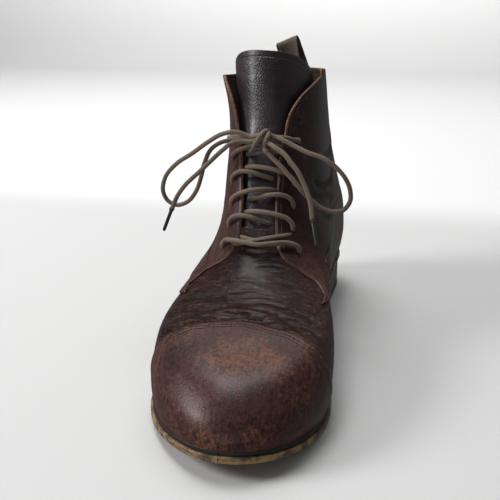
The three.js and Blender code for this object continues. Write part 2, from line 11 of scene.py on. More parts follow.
import bpy
import numpy as np
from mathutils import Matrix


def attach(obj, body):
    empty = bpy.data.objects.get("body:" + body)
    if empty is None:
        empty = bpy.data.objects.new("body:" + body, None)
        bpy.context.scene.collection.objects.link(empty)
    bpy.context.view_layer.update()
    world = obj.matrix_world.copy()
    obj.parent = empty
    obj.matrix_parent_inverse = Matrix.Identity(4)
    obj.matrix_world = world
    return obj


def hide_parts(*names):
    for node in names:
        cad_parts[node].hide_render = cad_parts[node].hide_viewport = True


bl_info = {
    "name": "Lace-up ankle boot",
    "version": (1, 0, 0),
    "blender": (4, 5, 0),
    "location": "View3D > Sidebar > Boot",
    "description": "Dresses the solids of a lace-up ankle boot in worn leather, cord and stitching",
    "category": "Object",
}

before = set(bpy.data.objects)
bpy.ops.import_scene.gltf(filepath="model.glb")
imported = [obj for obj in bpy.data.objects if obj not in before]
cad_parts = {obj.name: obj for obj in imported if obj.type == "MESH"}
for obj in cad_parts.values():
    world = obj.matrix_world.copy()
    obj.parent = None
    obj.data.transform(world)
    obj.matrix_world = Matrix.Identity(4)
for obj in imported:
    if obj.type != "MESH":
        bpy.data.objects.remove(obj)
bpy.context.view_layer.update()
MM = 0.001

# Sizes of the solids, repeated from their source
LENGTH = 296.0
BALL_WIDTH = 102.0
SHAFT_HEIGHT = 158.0
HEEL_HEIGHT = 23.3
TOE_SPRING = 9.2
OUTSOLE = 3.2
WELT = 1.4
TOP_PIECE = 5.0
OUTSOLE_MARGIN = 2.6
WELT_MARGIN = 1.4
HEEL_MARGIN = 1.2
WALL = 2.4
TONGUE_WALL = 2.0
CAP_STEP = 0.9
QUARTER_STEP = 1.2
BACK_STEP = 0.6
EYELET_HOLE = 4.0
EYELET_INSET = 8.5
LACE = 2.6
BRAID = 0.1
# Steps along the lace, and how deep its ends lie under the leather
CORD_STEP, BOW_STEP, LACE_DEPTH = 0.7, 0.8, -3.2
AGLET = 15.0
TAB_WIDTH = 15.0
TAB_WALL = 1.6
CLEAR = 0.3
HEEL_BREAST = 0.745

COLUMNS = ("frontY", "frontRise", "backY", "backRise", "nose", "tail", "lean", "drop")
SECTIONS = np.array(
    [
        [0.0095, 0, 0.9905, 0, 0.225, 0.12, 0, 0],
        [0.0078, 0.043, 0.9895, 0.049, 0.223, 0.12, 0, 0],
        [0.0285, 0.108, 0.99, 0.134, 0.215, 0.12, 0, 0],
        [0.079, 0.172, 0.987, 0.232, 0.23, 0.12, 0, 0],
        [0.17, 0.202, 0.982, 0.331, 0.27, 0.12, 0, 0],
        [0.31, 0.263, 0.972, 0.429, 0.29, 0.12, -0.005, 0],
        [0.42, 0.398, 0.963, 0.54, 0.28, 0.13, -0.02, 0],
        [0.5, 0.591, 0.957, 0.663, 0.22, 0.14, -0.045, 0],
        [0.575, 0.826, 0.955, 0.821, 0.18, 0.15, -0.07, 0.015],
        [0.605, 1.08, 0.956, 1.004, 0.16, 0.16, -0.1, 0.04],
    ]
)
STATIONS = np.array([0, 0.12, 0.28, 0.45, 0.62, 0.78, 0.93, 1])
LATERAL = np.array(
    [
        [0.365, 0.415, 0.43, 0.395, 0.33, 0.3, 0.295, 0.29],
        [0.375, 0.425, 0.445, 0.4, 0.335, 0.305, 0.3, 0.295],
        [0.375, 0.425, 0.44, 0.395, 0.34, 0.315, 0.31, 0.3],
        [0.36, 0.41, 0.422, 0.375, 0.335, 0.31, 0.305, 0.295],
        [0.365, 0.395, 0.385, 0.345, 0.32, 0.3, 0.295, 0.285],
        [0.365, 0.38, 0.365, 0.325, 0.305, 0.285, 0.275, 0.265],
        [0.355, 0.365, 0.36, 0.325, 0.3, 0.275, 0.26, 0.26],
        [0.34, 0.34, 0.335, 0.315, 0.295, 0.28, 0.26, 0.26],
        [0.325, 0.325, 0.32, 0.315, 0.3, 0.29, 0.27, 0.27],
        [0.325, 0.325, 0.325, 0.32, 0.315, 0.3, 0.285, 0.285],
    ]
)
MEDIAL = np.array(
    [
        [0.39, 0.42, 0.45, 0.345, 0.29, 0.285, 0.29, 0.29],
        [0.415, 0.44, 0.475, 0.36, 0.3, 0.295, 0.305, 0.3],
        [0.42, 0.445, 0.48, 0.375, 0.315, 0.31, 0.315, 0.3],
        [0.41, 0.44, 0.472, 0.385, 0.32, 0.315, 0.31, 0.3],
        [0.42, 0.44, 0.465, 0.39, 0.325, 0.31, 0.3, 0.29],
        [0.42, 0.43, 0.45, 0.39, 0.33, 0.3, 0.28, 0.27],
        [0.41, 0.41, 0.43, 0.38, 0.32, 0.29, 0.265, 0.26],
        [0.365, 0.365, 0.355, 0.335, 0.305, 0.285, 0.26, 0.26],
        [0.32, 0.32, 0.32, 0.31, 0.295, 0.285, 0.27, 0.27],
        [0.3, 0.3, 0.3, 0.295, 0.29, 0.285, 0.275, 0.275],
    ]
)
SWING = np.array([[0, 0.1078], [0.12, 0.0735], [0.28, 0.0147], [0.45, -0.0049], [0.7, 0], [1, 0]])
UNDERSIDE = np.array(
    [
        [0, 1, 0],
        [0.1, 0.4, 0],
        [0.25, 0, 0],
        [0.36, 0, 0],
        [0.5, 0, 0.28],
        [0.62, 0, 0.61],
        [0.72, 0, 0.84],
        [0.85, 0, 0.955],
        [1, 0, 1],
    ]
)
# Facing edges, seen from the front: height, lateral and medial edge
FACINGS = np.array(
    [
        [0.307, -0.4, 0.406],
        [0.319, -0.371, 0.373],
        [0.339, -0.33, 0.324],
        [0.361, -0.278, 0.25],
        [0.38, -0.23, 0.2],
        [0.402, -0.186, 0.142],
        [0.424, -0.161, 0.103],
        [0.452, -0.147, 0.075],
        [0.5, -0.149, 0.054],
        [0.561, -0.155, 0.034],
        [0.637, -0.181, 0.027],
        [0.7, -0.203, 0.019],
        [0.789, -0.25, 0.025],
        [0.875, -0.292, 0.044],
        [0.932, -0.328, 0.09],
        [0.976, -0.372, 0.145],
        [1.013, -0.412, 0.177],
    ]
) * [SHAFT_HEIGHT, BALL_WIDTH, BALL_WIDTH]
# Lower edge of the quarters and front edge of the back panel, seen from the side: y, z
LOWER_EDGE = np.array([[0.068, 0.04], [-0.017, 0.19], [-0.1, 0.253], [-0.174, 0.307]])
PANEL_EDGE = np.array(
    [
        [-0.168, 0.307],
        [-0.095, 0.335],
        [-0.02, 0.38],
        [0.045, 0.475],
        [0.095, 0.6],
        [0.135, 0.76],
        [0.165, 0.92],
        [0.185, 1.05],
    ]
)
EYELETS = np.array([0.42, 0.481, 0.549, 0.62, 0.692, 0.765, 0.84]) * SHAFT_HEIGHT
# How much nearer to the facing's edge each hole is: lateral, then medial, from the bottom up
EYELET_WANDER = np.array([[2.0, 1.0, 1.0, 1.0, 1.0, 0.5, 0.5], [0.0, 0.5, 0.0, 0.5, 3.6, 1.0, 2.5]])
LACED = 6
TONGUE = {"from": 5.2, "top": 9.38}
TONGUE_SPREAD = np.array([[5.2, 30, 0], [6, 38, 0.2], [7.4, 45, 0.6], [8.4, 56, 1.8], [9.4, 66, 3.5]])
TONGUE_SHARES = (-1, 1.38)
# Fall of the tongue's top on each side, in millimetres at a share of 1, and the power it grows with
TONGUE_FALL = {"lateral": (12.0, 2.2), "medial": (7.9, 2.4)}
TAB = {"leg": 22, "rise": 20, "shift": 2.2, "slack": 1, "tilt": 22}

# Free laces
KNOT = np.array([-9.5, 13.5, 124.8])
LATERAL_LOOP = [
    [-15.5, 12, 125.9],
    [-25, 11, 128.7],
    [-33.1, 11, 127],
    [-41.7, 12, 122],
    [-52.5, 14, 114.3],
    [-64.3, 16, 106.4],
    [-72.4, 18, 96.8],
    [-74.3, 19, 88.1],
    [-71.7, 20, 82],
    [-66, 20, 79.5],
    [-58.2, 20, 82.2],
    [-52.7, 20, 89.1],
    [-48.9, 19, 98.6],
    [-45.5, 17, 109],
    [-41.1, 16, 117],
    [-34.1, 15.5, 121.6],
    [-26, 15, 123.2],
    [-16.2, 15, 122.8],
]
LATERAL_END = [
    [-15.9, 10.2, 123.2],
    [-25.1, 8.5, 122.9],
    [-32.2, 8, 117.7],
    [-38.7, 8, 111.6],
    [-45.1, 8, 105.5],
    [-56.8, 9, 94.4],
    [-61.6, 10, 88],
    [-66.2, 11, 78.5],
]
MEDIAL_LOOP = [
    [-3, 13.4, 126.8],
    [2.5, 11.6, 125.6],
    [10.3, 11, 122.1],
    [19.1, 10, 118.4],
    [28.4, 10, 115.4],
    [34.5, 11, 111.4],
    [40.7, 12, 104.9],
    [44.4, 14, 96.4],
    [44.7, 14, 89.9],
    [40.4, 13, 83.9],
    [35, 11, 83.5],
    [28.1, 9, 85.9],
    [22.9, 7, 90.4],
    [18.4, 4.4, 95.5],
    [14.7, 3.6, 100],
    [10, 3.9, 104.9],
    [4.8, 4.9, 110.2],
    [-0.4, 6.4, 114.4],
    [-5, 7.6, 118.4],
]
MEDIAL_END = [
    [-5.2, 9.3, 123.8],
    [1, 5.6, 121.2],
    [6.4, 3.4, 118.3],
    [10.9, 2, 113.5],
    [15.1, 0.8, 108.8],
    [19.1, 0, 101.5],
    [22.7, -2, 93.8],
    [25.5, -5.5, 81.6],
]
LATERAL_TIP = [-5.4, 1, -12.8]
MEDIAL_TIP = [4.4, -9.4, -14.1]


# Curves and the surface of the last


def smooth(places, values, at):
    """Curve through values at uneven places. The slope at each place is the mean of the slopes on both
    sides, weighted by the step on the other side. values is one row, or one row for each of at."""
    places = np.asarray(places, float)
    values = np.asarray(values, float)
    step = np.diff(places)
    slope = np.diff(values, axis=-1) / step
    before, after = step[:-1], step[1:]
    inner = (slope[..., :-1] * after + slope[..., 1:] * before) / (before + after)
    tangent = np.concatenate([slope[..., :1], inner, slope[..., -1:]], axis=-1)
    x = np.clip(at, places[0], places[-1])
    k = np.clip(np.searchsorted(places, x, side="right") - 1, 0, len(places) - 2)
    t = (x - places[k]) / step[k]

    def pick(table, i):
        return table[i] if table.ndim == 1 else np.take_along_axis(table, i[..., None], -1)[..., 0]

    rise = t * t * (3 - 2 * t)
    low, high = pick(values, k), pick(values, k + 1)
    bend = pick(tangent, k) * t * (1 - t) ** 2 - pick(tangent, k + 1) * t * t * (1 - t)
    return low + (high - low) * rise + step[k] * bend


def underside(share):
    """Height of the sole's underside: the toe's spring and the heel's height, each times its own curve."""
    spring = smooth(UNDERSIDE[:, 0], UNDERSIDE[:, 1], share) * TOE_SPRING
    heel = smooth(UNDERSIDE[:, 0], UNDERSIDE[:, 2], share) * HEEL_HEIGHT
    return np.maximum(0, spring) + np.maximum(0, heel)


def feather(share):
    """Height of the line where the upper meets the welt: the underside plus the layers and their gaps."""
    return underside(share) + OUTSOLE + WELT + 2 * CLEAR


UPPER_HEIGHT = SHAFT_HEIGHT - float(feather(np.array(1.0)))
ROWS = np.arange(len(SECTIONS))
TOP = len(SECTIONS) - 1


def rounded(t):
    """A quarter of a circle from 0 to 1: the square root of 1 - (1 - t)^2."""
    return np.sqrt(1 - (1 - np.clip(t, 0, 1)) ** 2)


def section_point(row, angle):
    """Point of the upper's outside. Along the foot it goes from the section's front to its back with
    (1 - cos angle) / 2; sideways it is the half width there, narrowed to nothing at the rounded ends."""
    at = {name: smooth(ROWS, SECTIONS[:, i], row) for i, name in enumerate(COLUMNS)}
    along = (1 - np.cos(angle)) / 2
    share = at["frontY"] + (at["backY"] - at["frontY"]) * along
    medial = np.sin(angle) >= 0
    stations = [
        np.where(medial, smooth(ROWS, MEDIAL[:, i], row), smooth(ROWS, LATERAL[:, i], row))
        for i in range(len(STATIONS))
    ]
    half = smooth(STATIONS, np.stack(stations, -1), share)
    ends = rounded((share - at["frontY"]) / at["nose"]) * rounded((at["backY"] - share) / at["tail"])
    follow = np.clip(1 - row / 4, 0, 1) ** 1.5
    toe, heel = feather(np.array(0.0)), feather(np.array(1.0))
    base = toe + (heel - toe) * share
    x = np.where(medial, 1, -1) * half * ends + smooth(SWING[:, 0], SWING[:, 1], share) + at["lean"]
    rise = (at["frontRise"] + (at["backRise"] - at["frontRise"]) * along) * UPPER_HEIGHT
    drop = at["drop"] * BALL_WIDTH * np.maximum(0, -np.sin(angle))
    z = base + follow * (feather(share) - base) + rise - drop
    return np.stack([x * BALL_WIDTH, (share - 0.5) * LENGTH, z], -1)


def plain_point(row, angle):
    """The upper's outside, carried straight on past the collar with the slope of its last quarter row."""
    row, angle = np.broadcast_arrays(np.asarray(row, float), np.asarray(angle, float))
    r, a = row.ravel(), angle.ravel()
    point = section_point(np.minimum(r, TOP), a)
    over = r > TOP
    if over.any():
        below = section_point(np.full(over.sum(), TOP - 0.25), a[over])
        point[over] += (point[over] - below) * ((r[over] - TOP) / 0.25)[:, None]
    return point.reshape(row.shape + (3,))


def unit(v):
    """The same directions, each one long."""
    return v / (np.linalg.norm(v, axis=-1, keepdims=True) + 1e-12)


def outward(row, angle):
    """Direction out of the surface: the step around it crossed with the step up it. At the feather line
    it is level."""
    row, angle = np.broadcast_arrays(np.asarray(row, float), np.asarray(angle, float))
    step = 0.01
    around = plain_point(row, angle + step) - plain_point(row, angle - step)
    up = plain_point(row + step, angle) - plain_point(np.maximum(0, row - step), angle)
    normal = unit(np.cross(around, up))
    normal[..., 2] *= np.minimum(1, row)
    return unit(normal)


AROUND = np.linspace(0, 2 * np.pi, 208, endpoint=False)
EDGE = plain_point(0.0, AROUND) + OUTSOLE_MARGIN * outward(0.0, AROUND)
MIDDLE = np.array([(EDGE[:, 0].max() + EDGE[:, 0].min()) / 2, 0, 0])


def skin(row, angle, grow=0.0):
    """The outer surface pushed outwards by grow, with the outsole centred on the origin."""
    grow = np.asarray(grow, float)[..., None]
    return plain_point(row, angle) + outward(row, angle) * grow - MIDDLE


FRONT_ROWS = np.linspace(2.5, 9.6, 400)
FRONT_TURNS = np.linspace(-np.pi / 2, np.pi / 2, 241)
FRONT = plain_point(FRONT_ROWS[:, None], FRONT_TURNS) - MIDDLE


def seen_from_front(x, z):
    """Row and angle where the front of the upper is met at x and z. In a fine table of the surface, each
    row gives the angle at x, or at its widest place, and the height there, and the heights give the row."""
    x, z = np.broadcast_arrays(np.asarray(x, float), np.asarray(z, float))
    right = np.maximum.accumulate(FRONT[:, 120:, 0], axis=1)
    left = np.minimum.accumulate(FRONT[:, 120::-1, 0], axis=1)[:, ::-1]
    across = np.concatenate([left, right[:, 1:]], axis=1)
    steps = np.arange(241) * 1e-6
    inside = [np.clip(x.ravel(), line[0] + 0.001, line[-1]) for line in across]
    turns = np.stack([np.interp(at, line + steps, FRONT_TURNS) for at, line in zip(inside, across)])
    rise = np.stack([np.interp(turn, FRONT_TURNS, line[:, 2]) for turn, line in zip(turns, FRONT)])
    rise = np.maximum.accumulate(rise, axis=0)
    row = np.array([np.interp(h, column, FRONT_ROWS) for h, column in zip(z.ravel(), rise.T)])
    turn = np.array([np.interp(r, FRONT_ROWS, column) for r, column in zip(row, turns.T)])
    return row.reshape(x.shape), turn.reshape(x.shape)


def seen_from_side(y, z, side):
    """Row and angle where one side of the upper (1 medial, -1 lateral) is met at y and z."""
    share = np.asarray(y, float) / LENGTH + 0.5

    def angle_at(row):
        front, back = smooth(ROWS, SECTIONS[:, 0], row), smooth(ROWS, SECTIONS[:, 2], row)
        return side * np.arccos(np.clip(1 - 2 * (share - front) / (back - front), -1, 1))

    low, high = np.zeros(share.shape), np.full(share.shape, 9.6)
    for _ in range(24):
        middle = (low + high) / 2
        under = plain_point(middle, angle_at(middle))[..., 2] < z
        low, high = np.where(under, middle, low), np.where(under, high, middle)
    row = (low + high) / 2
    return row, angle_at(row)


def facing_edge(side, z):
    """Sideways place of a facing's edge at a height, seen from the front."""
    return smooth(FACINGS[:, 0], FACINGS[:, 2 if side > 0 else 1], z)


def run_along(path):
    """Distance along a path at each of its points: the sum of the steps up to it."""
    return np.concatenate([[0], np.cumsum(np.linalg.norm(np.diff(path, axis=0), axis=1))])


def points_at(places, run, path):
    """Points of a path at distances along it."""
    return np.stack([np.interp(places, run, path[:, i]) for i in range(path.shape[1])], -1)


def along_points(points, count=None, pitch=None):
    """Smooth curve through points, resampled at even steps."""
    points = np.asarray(points, float)
    chord = run_along(points)
    fine = np.linspace(0, chord[-1], 24 * len(points))
    curve = np.stack([smooth(chord, points[:, i], fine) for i in range(points.shape[1])], -1)
    run = run_along(curve)
    if count is None:
        count = max(2, int(round(run[-1] / pitch)) + 1)
    return points_at(np.linspace(0, run[-1], count), run, curve)


# Meshes


def put_mesh(name, points, quads, material, uv=None, marks=None):
    """Makes an object from points in millimetres and arrays of faces with the same number of corners."""
    mesh = bpy.data.meshes.new(name)
    groups = [np.asarray(q) for q in ([quads] if isinstance(quads, np.ndarray) else quads)]
    corners = np.concatenate([q.ravel() for q in groups])
    counts = np.concatenate([np.full(len(q), q.shape[1]) for q in groups])
    mesh.vertices.add(len(points))
    mesh.vertices.foreach_set("co", (np.asarray(points) * MM).astype(np.float32).ravel())
    mesh.loops.add(len(corners))
    mesh.loops.foreach_set("vertex_index", corners.astype(np.int32))
    mesh.polygons.add(len(counts))
    starts = np.concatenate([[0], np.cumsum(counts)[:-1]])
    mesh.polygons.foreach_set("loop_start", starts.astype(np.int32))
    mesh.polygons.foreach_set("use_smooth", np.ones(len(counts), bool))
    mesh.update(calc_edges=True)
    if uv is not None:
        layer = mesh.uv_layers.new(name="UVMap")
        layer.data.foreach_set("uv", np.asarray(uv, np.float32)[corners].ravel())
    for key, values in (marks or {}).items():
        mark = mesh.attributes.new(key, "FLOAT", "POINT")
        mark.data.foreach_set("value", np.asarray(values, np.float32).ravel())
    mesh.validate()
    mesh.materials.append(material)
    thing = bpy.data.objects.new(name, mesh)
    bpy.context.scene.collection.objects.link(thing)
    return thing


def grid_faces(m, n, start=0):
    """Faces with four corners over a grid of m by n points, numbered from start."""
    i, j = np.meshgrid(np.arange(m - 1), np.arange(n - 1), indexing="ij")
    a = start + (i * n + j).ravel()
    return np.stack([a, a + 1, a + n + 1, a + n], -1)


def rim_loop(m, n):
    """Indices around a grid of m by n points, anticlockwise, and of each one's neighbour inside."""
    low = np.arange(n - 1)
    right = np.arange(m - 1)
    i = np.concatenate([np.zeros(n - 1, int), right, np.full(n - 1, m - 1), right[::-1] + 1])
    j = np.concatenate([low, np.full(m - 1, n - 1), low[::-1] + 1, np.zeros(m - 1, int)])
    return i * n + j, np.clip(i, 1, m - 2) * n + np.clip(j, 1, n - 2)


ROUND_RIM = ((0.92, 0.45), (0.6, 0.85), (0.0, 1.0), (-0.6, 0.85), (-0.92, 0.45))
SQUARE_RIM = ((0.98, 0.35), (0.86, 0.75), (0.62, 1.0), (-0.62, 1.0), (-0.86, 0.75), (-0.98, 0.35))


def sheet_mesh(name, outer, inner, material, rim=ROUND_RIM, bulge=0.6, marks=None):
    """A sheet with a thickness: an outer and an inner grid of points, and a rim that runs around them.
    Each rim profile is a list of (share of the half thickness, share of bulge) from outer to inner.
    The mark "side" is 0 on the outside, 1 on the inside and between them on the rim."""
    m, n = outer.shape[:2]
    size = m * n
    out, back = outer.reshape(-1, 3), inner.reshape(-1, 3)
    loop, near = rim_loop(m, n)
    count = len(loop)
    push = out[loop] - out[near]
    thick = unit(out[loop] - back[loop])
    push = unit(push - thick * (push * thick).sum(-1, keepdims=True))
    centre, half = (out[loop] + back[loop]) / 2, (out[loop] - back[loop]) / 2
    rings = [centre + half * t + push * bulge * b for t, b in rim]
    points = np.concatenate([out, back, *rings])
    faces = [grid_faces(m, n), grid_faces(m, n, size)[:, ::-1]]
    ids = [loop, *[2 * size + k * count + np.arange(count) for k in range(len(rim))], size + loop]
    for first, second in zip(ids, ids[1:]):
        faces.append(np.stack([first, second, np.roll(second, -1), np.roll(first, -1)], -1))
    sides = np.concatenate([np.zeros(size), np.ones(size), *[np.full(count, 0.5 - t / 2) for t, _ in rim]])
    named = {"side": sides}
    for key, values in (marks or {}).items():
        flat = np.asarray(values, float).reshape(-1)
        named[key] = np.concatenate([flat, flat, *[flat[loop] for _ in rim]])
    return put_mesh(name, points, np.concatenate(faces), material, marks=named)


def frames_along(path):
    """Two directions across a path that turn as little as they can from point to point."""
    tangent = unit(np.gradient(path, axis=0))
    first = np.cross(tangent[0], [0, 0, 1.0])
    if np.linalg.norm(first) < 0.1:
        first = np.cross(tangent[0], [0, 1.0, 0])
    side = [first / np.linalg.norm(first)]
    for t in tangent[1:]:
        s = side[-1] - t * (side[-1] @ t)
        side.append(s / np.linalg.norm(s))
    side = np.array(side)
    return side, np.cross(tangent, side)


def tube_points(path, radius, sides=12):
    """Rings of points around a path, with closing rings at both ends that round it off."""
    path = np.asarray(path, float)
    across, up = frames_along(path)
    turn = np.linspace(0, 2 * np.pi, sides + 1)
    tangent = unit(np.gradient(path, axis=0))
    cut = np.array([1.0, 0.85, 0.5, 0.02])
    lift = np.array([0.0, 0.5, 0.85, 1.0])
    steps = np.concatenate([np.zeros(3, int), np.arange(len(path)), np.full(3, len(path) - 1)])
    sizes = np.concatenate([cut[:0:-1], np.ones(len(path)), cut[1:]])
    shift = np.concatenate([-lift[:0:-1], np.zeros(len(path)), lift[1:]]) * 0.5
    r = (np.broadcast_to(radius, (len(path),))[steps] * sizes)[:, None, None]
    base = path[steps] + tangent[steps] * (shift * np.broadcast_to(radius, (len(path),))[steps])[:, None]
    ring = across[steps][:, None] * np.cos(turn)[:, None] + up[steps][:, None] * np.sin(turn)[:, None]
    run = run_along(path)[steps]
    uv = np.stack(np.broadcast_arrays(turn / (2 * np.pi), run[:, None]), -1)
    return base[:, None] + ring * r, uv


def tubes_mesh(name, paths, radius, material):
    """Round cords along paths, in one mesh. The UV map is (share around, millimetres along)."""
    points, faces, uvs, start = [], [], [], 0
    for path in paths:
        rings, uv = tube_points(path, radius)
        m, n = rings.shape[:2]
        points.append(rings.reshape(-1, 3))
        uvs.append(uv.reshape(-1, 2))
        faces.append(grid_faces(m, n, start))
        start += m * n
    return put_mesh(name, np.concatenate(points), np.concatenate(faces), material, uv=np.concatenate(uvs))


def stitch_mesh(name, rows, material, length=1.5, gap=0.75, radius=0.24, sink=0.06):
    """Rows of stitches: along each row of (points, outward directions) a short rounded thread, arched
    into the leather at both ends."""
    turn = np.linspace(0, 2 * np.pi, 7)[:-1]
    reach = np.linspace(-1, 1, 7)
    fat = np.sqrt(np.clip(1 - np.abs(reach) ** 3.2, 0.04, 1))
    dip = -0.9 * reach**4
    points, faces, start = [], [], 0
    for path, normals in rows:
        run = run_along(path)
        count = max(1, int(run[-1] / (length + gap)))
        middles = (np.arange(count) + 0.5) * run[-1] / count
        at = points_at(middles, run, path)
        up = unit(points_at(middles, run, normals))
        t = unit(points_at(middles + 0.3, run, path) - points_at(middles - 0.3, run, path))
        s = np.cross(up, t)
        ring = s[:, None, None] * np.cos(turn)[:, None] + up[:, None, None] * np.sin(turn)[:, None]
        body = at[:, None, None] + t[:, None, None] * (reach * length / 2)[:, None, None]
        body = body + ring * (fat * radius)[:, None, None]
        body = body + up[:, None, None] * (dip * radius - sink)[:, None, None]
        m, n = len(reach), len(turn)
        i, j = np.meshgrid(np.arange(m - 1), np.arange(n), indexing="ij")
        a, b = (i * n + j).ravel(), (i * n + (j + 1) % n).ravel()
        quads = np.stack([a, a + n, b + n, b], -1)
        offsets = start + np.arange(count) * m * n
        faces.append((quads[None] + offsets[:, None, None]).reshape(-1, 4))
        points.append(body.reshape(-1, 3))
        start += count * m * n
    return put_mesh(name, np.concatenate(points), np.concatenate(faces), material)


# Materials


class Value:
    """A number or colour in a material's nodes. Arithmetic on it adds Math nodes."""

    def __init__(self, paint, socket):
        self.paint, self.socket = paint, socket

    def maths(self, operation, *others):
        ins = {i: o for i, o in enumerate((self, *others))}
        return self.paint.node("ShaderNodeMath", ins, operation=operation)

    def __add__(self, other):
        return self.maths("ADD", other)

    def __sub__(self, other):
        return self.maths("SUBTRACT", other)

    def __rsub__(self, other):
        return (self * -1.0) + other

    def __mul__(self, other):
        return self.maths("MULTIPLY", other)

    __radd__ = __add__
    __rmul__ = __mul__

    def size(self):
        """The number without its sign."""
        return self.maths("ABSOLUTE")

    def wave(self):
        """Its sine."""
        return self.maths("SINE")

    def most(self, other):
        """The greater of the two."""
        return self.maths("MAXIMUM", other)

    def least(self, other):
        """The smaller of the two."""
        return self.maths("MINIMUM", other)

    def ramp(self, low, high, first=0.0, last=1.0):
        """Goes smoothly from first at low to last at high."""
        ins = {"Value": self, "From Min": low, "From Max": high, "To Min": first, "To Max": last}
        return self.paint.node("ShaderNodeMapRange", ins, interpolation_type="SMOOTHSTEP")


class Paint:
    """Builds one material's nodes."""

    def __init__(self, name):
        self.material = bpy.data.materials.new(name)
        self.material.use_nodes = True
        self.tree = self.material.node_tree
        self.shader = self.tree.nodes["Principled BSDF"]

    def set(self, socket, value):
        """Puts a number or colour on a socket, or links a value to it."""
        if isinstance(value, Value):
            self.tree.links.new(value.socket, socket)
        elif isinstance(value, tuple) and len(value) == 3 and socket.type == "RGBA":
            socket.default_value = (*value, 1.0)
        else:
            socket.default_value = value

    def node(self, kind, ins=None, out=0, **settings):
        """Adds a node: its settings, then its sockets. Gives one of its outputs."""
        made = self.tree.nodes.new(kind)
        for key, value in settings.items():
            setattr(made, key, value)
        for key, value in (ins or {}).items():
            self.set(made.inputs[key], value)
        return Value(self, made.outputs[out])

    def place(self):
        """The place on the piece, in metres."""
        return self.node("ShaderNodeTexCoord", out="Object")

    def mark(self, name):
        """A number that the mesh holds at each point."""
        return self.node("ShaderNodeAttribute", out="Fac", attribute_name=name)

    def axes(self, at):
        """The three numbers of a place."""
        split = self.tree.nodes.new("ShaderNodeSeparateXYZ")
        self.set(split.inputs[0], at)
        return [Value(self, socket) for socket in split.outputs]

    def noise(self, scale, detail=3.0, rough=0.5, at=None, warp=0.0):
        """Cloudy noise from 0 to 1."""
        ins = {"Vector": at or self.place(), "Scale": scale, "Detail": detail, "Roughness": rough}
        return self.node("ShaderNodeTexNoise", {**ins, "Distortion": warp})

    def stretched(self, *scales):
        """The place, scaled along each axis."""
        return self.node("ShaderNodeMapping", {"Vector": self.place(), "Scale": scales})

    def cells(self, scale, feature="F1"):
        """Distance in a pattern of cells."""
        ins = {"Vector": self.place(), "Scale": scale}
        return self.node("ShaderNodeTexVoronoi", ins, feature=feature, out="Distance")

    def mix(self, share, first, second):
        """A colour between two others."""
        ins = {0: share, 6: first, 7: second}
        return self.node("ShaderNodeMix", ins, out=2, data_type="RGBA")

    def bump(self, height, distance, strength=1.0, below=None):
        """Relief from a height, on top of the relief below."""
        ins = {"Height": height, "Distance": distance, "Strength": strength}
        if below is not None:
            ins["Normal"] = below
        return self.node("ShaderNodeBump", ins)

    def finish(self, **values):
        """Sets the shader's sockets, named in small letters, and gives the material."""
        for key, value in values.items():
            self.set(self.shader.inputs[key.replace("_", " ").title().replace("Ior", "IOR")], value)
        return self.material


def times(tone, share):
    """The same colour, darker or lighter."""
    return tuple(c * share for c in tone)


def groove(at, middle, width):
    """1 at the middle of a line across the surface, falling to 0 at width from it."""
    return (at - middle).size().ramp(0.0, width, 1.0, 0.0)


# Sizes and colours that can be changed


def colour(name, words, value):
    """A colour that a user can change."""
    return bpy.props.FloatVectorProperty(
        name=name, description=words, subtype="COLOR", default=value, min=0.0, max=1.0
    )


def amount(name, words, value, low=0.0, high=2.0):
    """A number that a user can change."""
    return bpy.props.FloatProperty(name=name, description=words, default=value, min=low, max=high)


class BootLeather(bpy.types.PropertyGroup):
    base: colour("Leather", "Waxed brown of the upper", (0.045, 0.0182, 0.016))
    # The dark colour also gives painted shade: the throat's dark spots, and at a third of its strength the
    # troughs, wrinkle lines and stitch grooves
    dark: colour("Dark patches", "Purple brown where the wax is thick", (0.016, 0.0075, 0.007))
    rub: colour("Rubbed leather", "Orange brown where the finish is worn off", (0.145, 0.063, 0.034))
    edge: colour("Cut edge", "Raw edge of the facings", (0.24, 0.115, 0.07))
    lining: colour("Lining", "Dark leather inside", (0.03, 0.018, 0.012))
    tongue: colour("Tongue", "Near black leather of the tongue", (0.0105, 0.006, 0.0075))
    tab: colour("Pull tab", "Dark strip of the pull tab", (0.062, 0.036, 0.022))
    thread: colour("Thread", "Stitches", (0.03, 0.014, 0.01))
    crease: amount("Crease depth", "Depth of the creases as a share of the worn boot's", 1.0)
    wear: amount("Wear", "How far the finish is rubbed off", 1.0)


class BootLace(bpy.types.PropertyGroup):
    cord: colour("Lace", "Waxed round cord", (0.15, 0.1, 0.064))
    tip: colour("Lace tip", "Hard end of the lace", (0.02, 0.017, 0.015))
    width: bpy.props.FloatProperty(
        name="Lace thickness", description="Diameter of the cord", default=LACE * MM, unit="LENGTH"
    )


class BootSole(bpy.types.PropertyGroup):
    edge: colour("Sole edge", "Worn tan edge of the outsole", (0.2, 0.125, 0.052))
    dirt: colour("Sole dirt", "Dark dirt on the sole's edge", (0.035, 0.022, 0.014))
    welt: colour("Welt", "Blackened welt", (0.012, 0.009, 0.008))
    rubber: colour("Rubber", "Top piece of the heel", (0.025, 0.022, 0.021))


class BootStage(bpy.types.PropertyGroup):
    floor: colour("Floor", "Pale floor and backdrop", (0.9, 0.9, 0.895))
    lens: bpy.props.FloatProperty(name="Lens", description="Camera lens", default=53.5, unit="CAMERA")


# Distance of the two stitch rows from a cut edge
SEAMS = (2.6, 4.6)

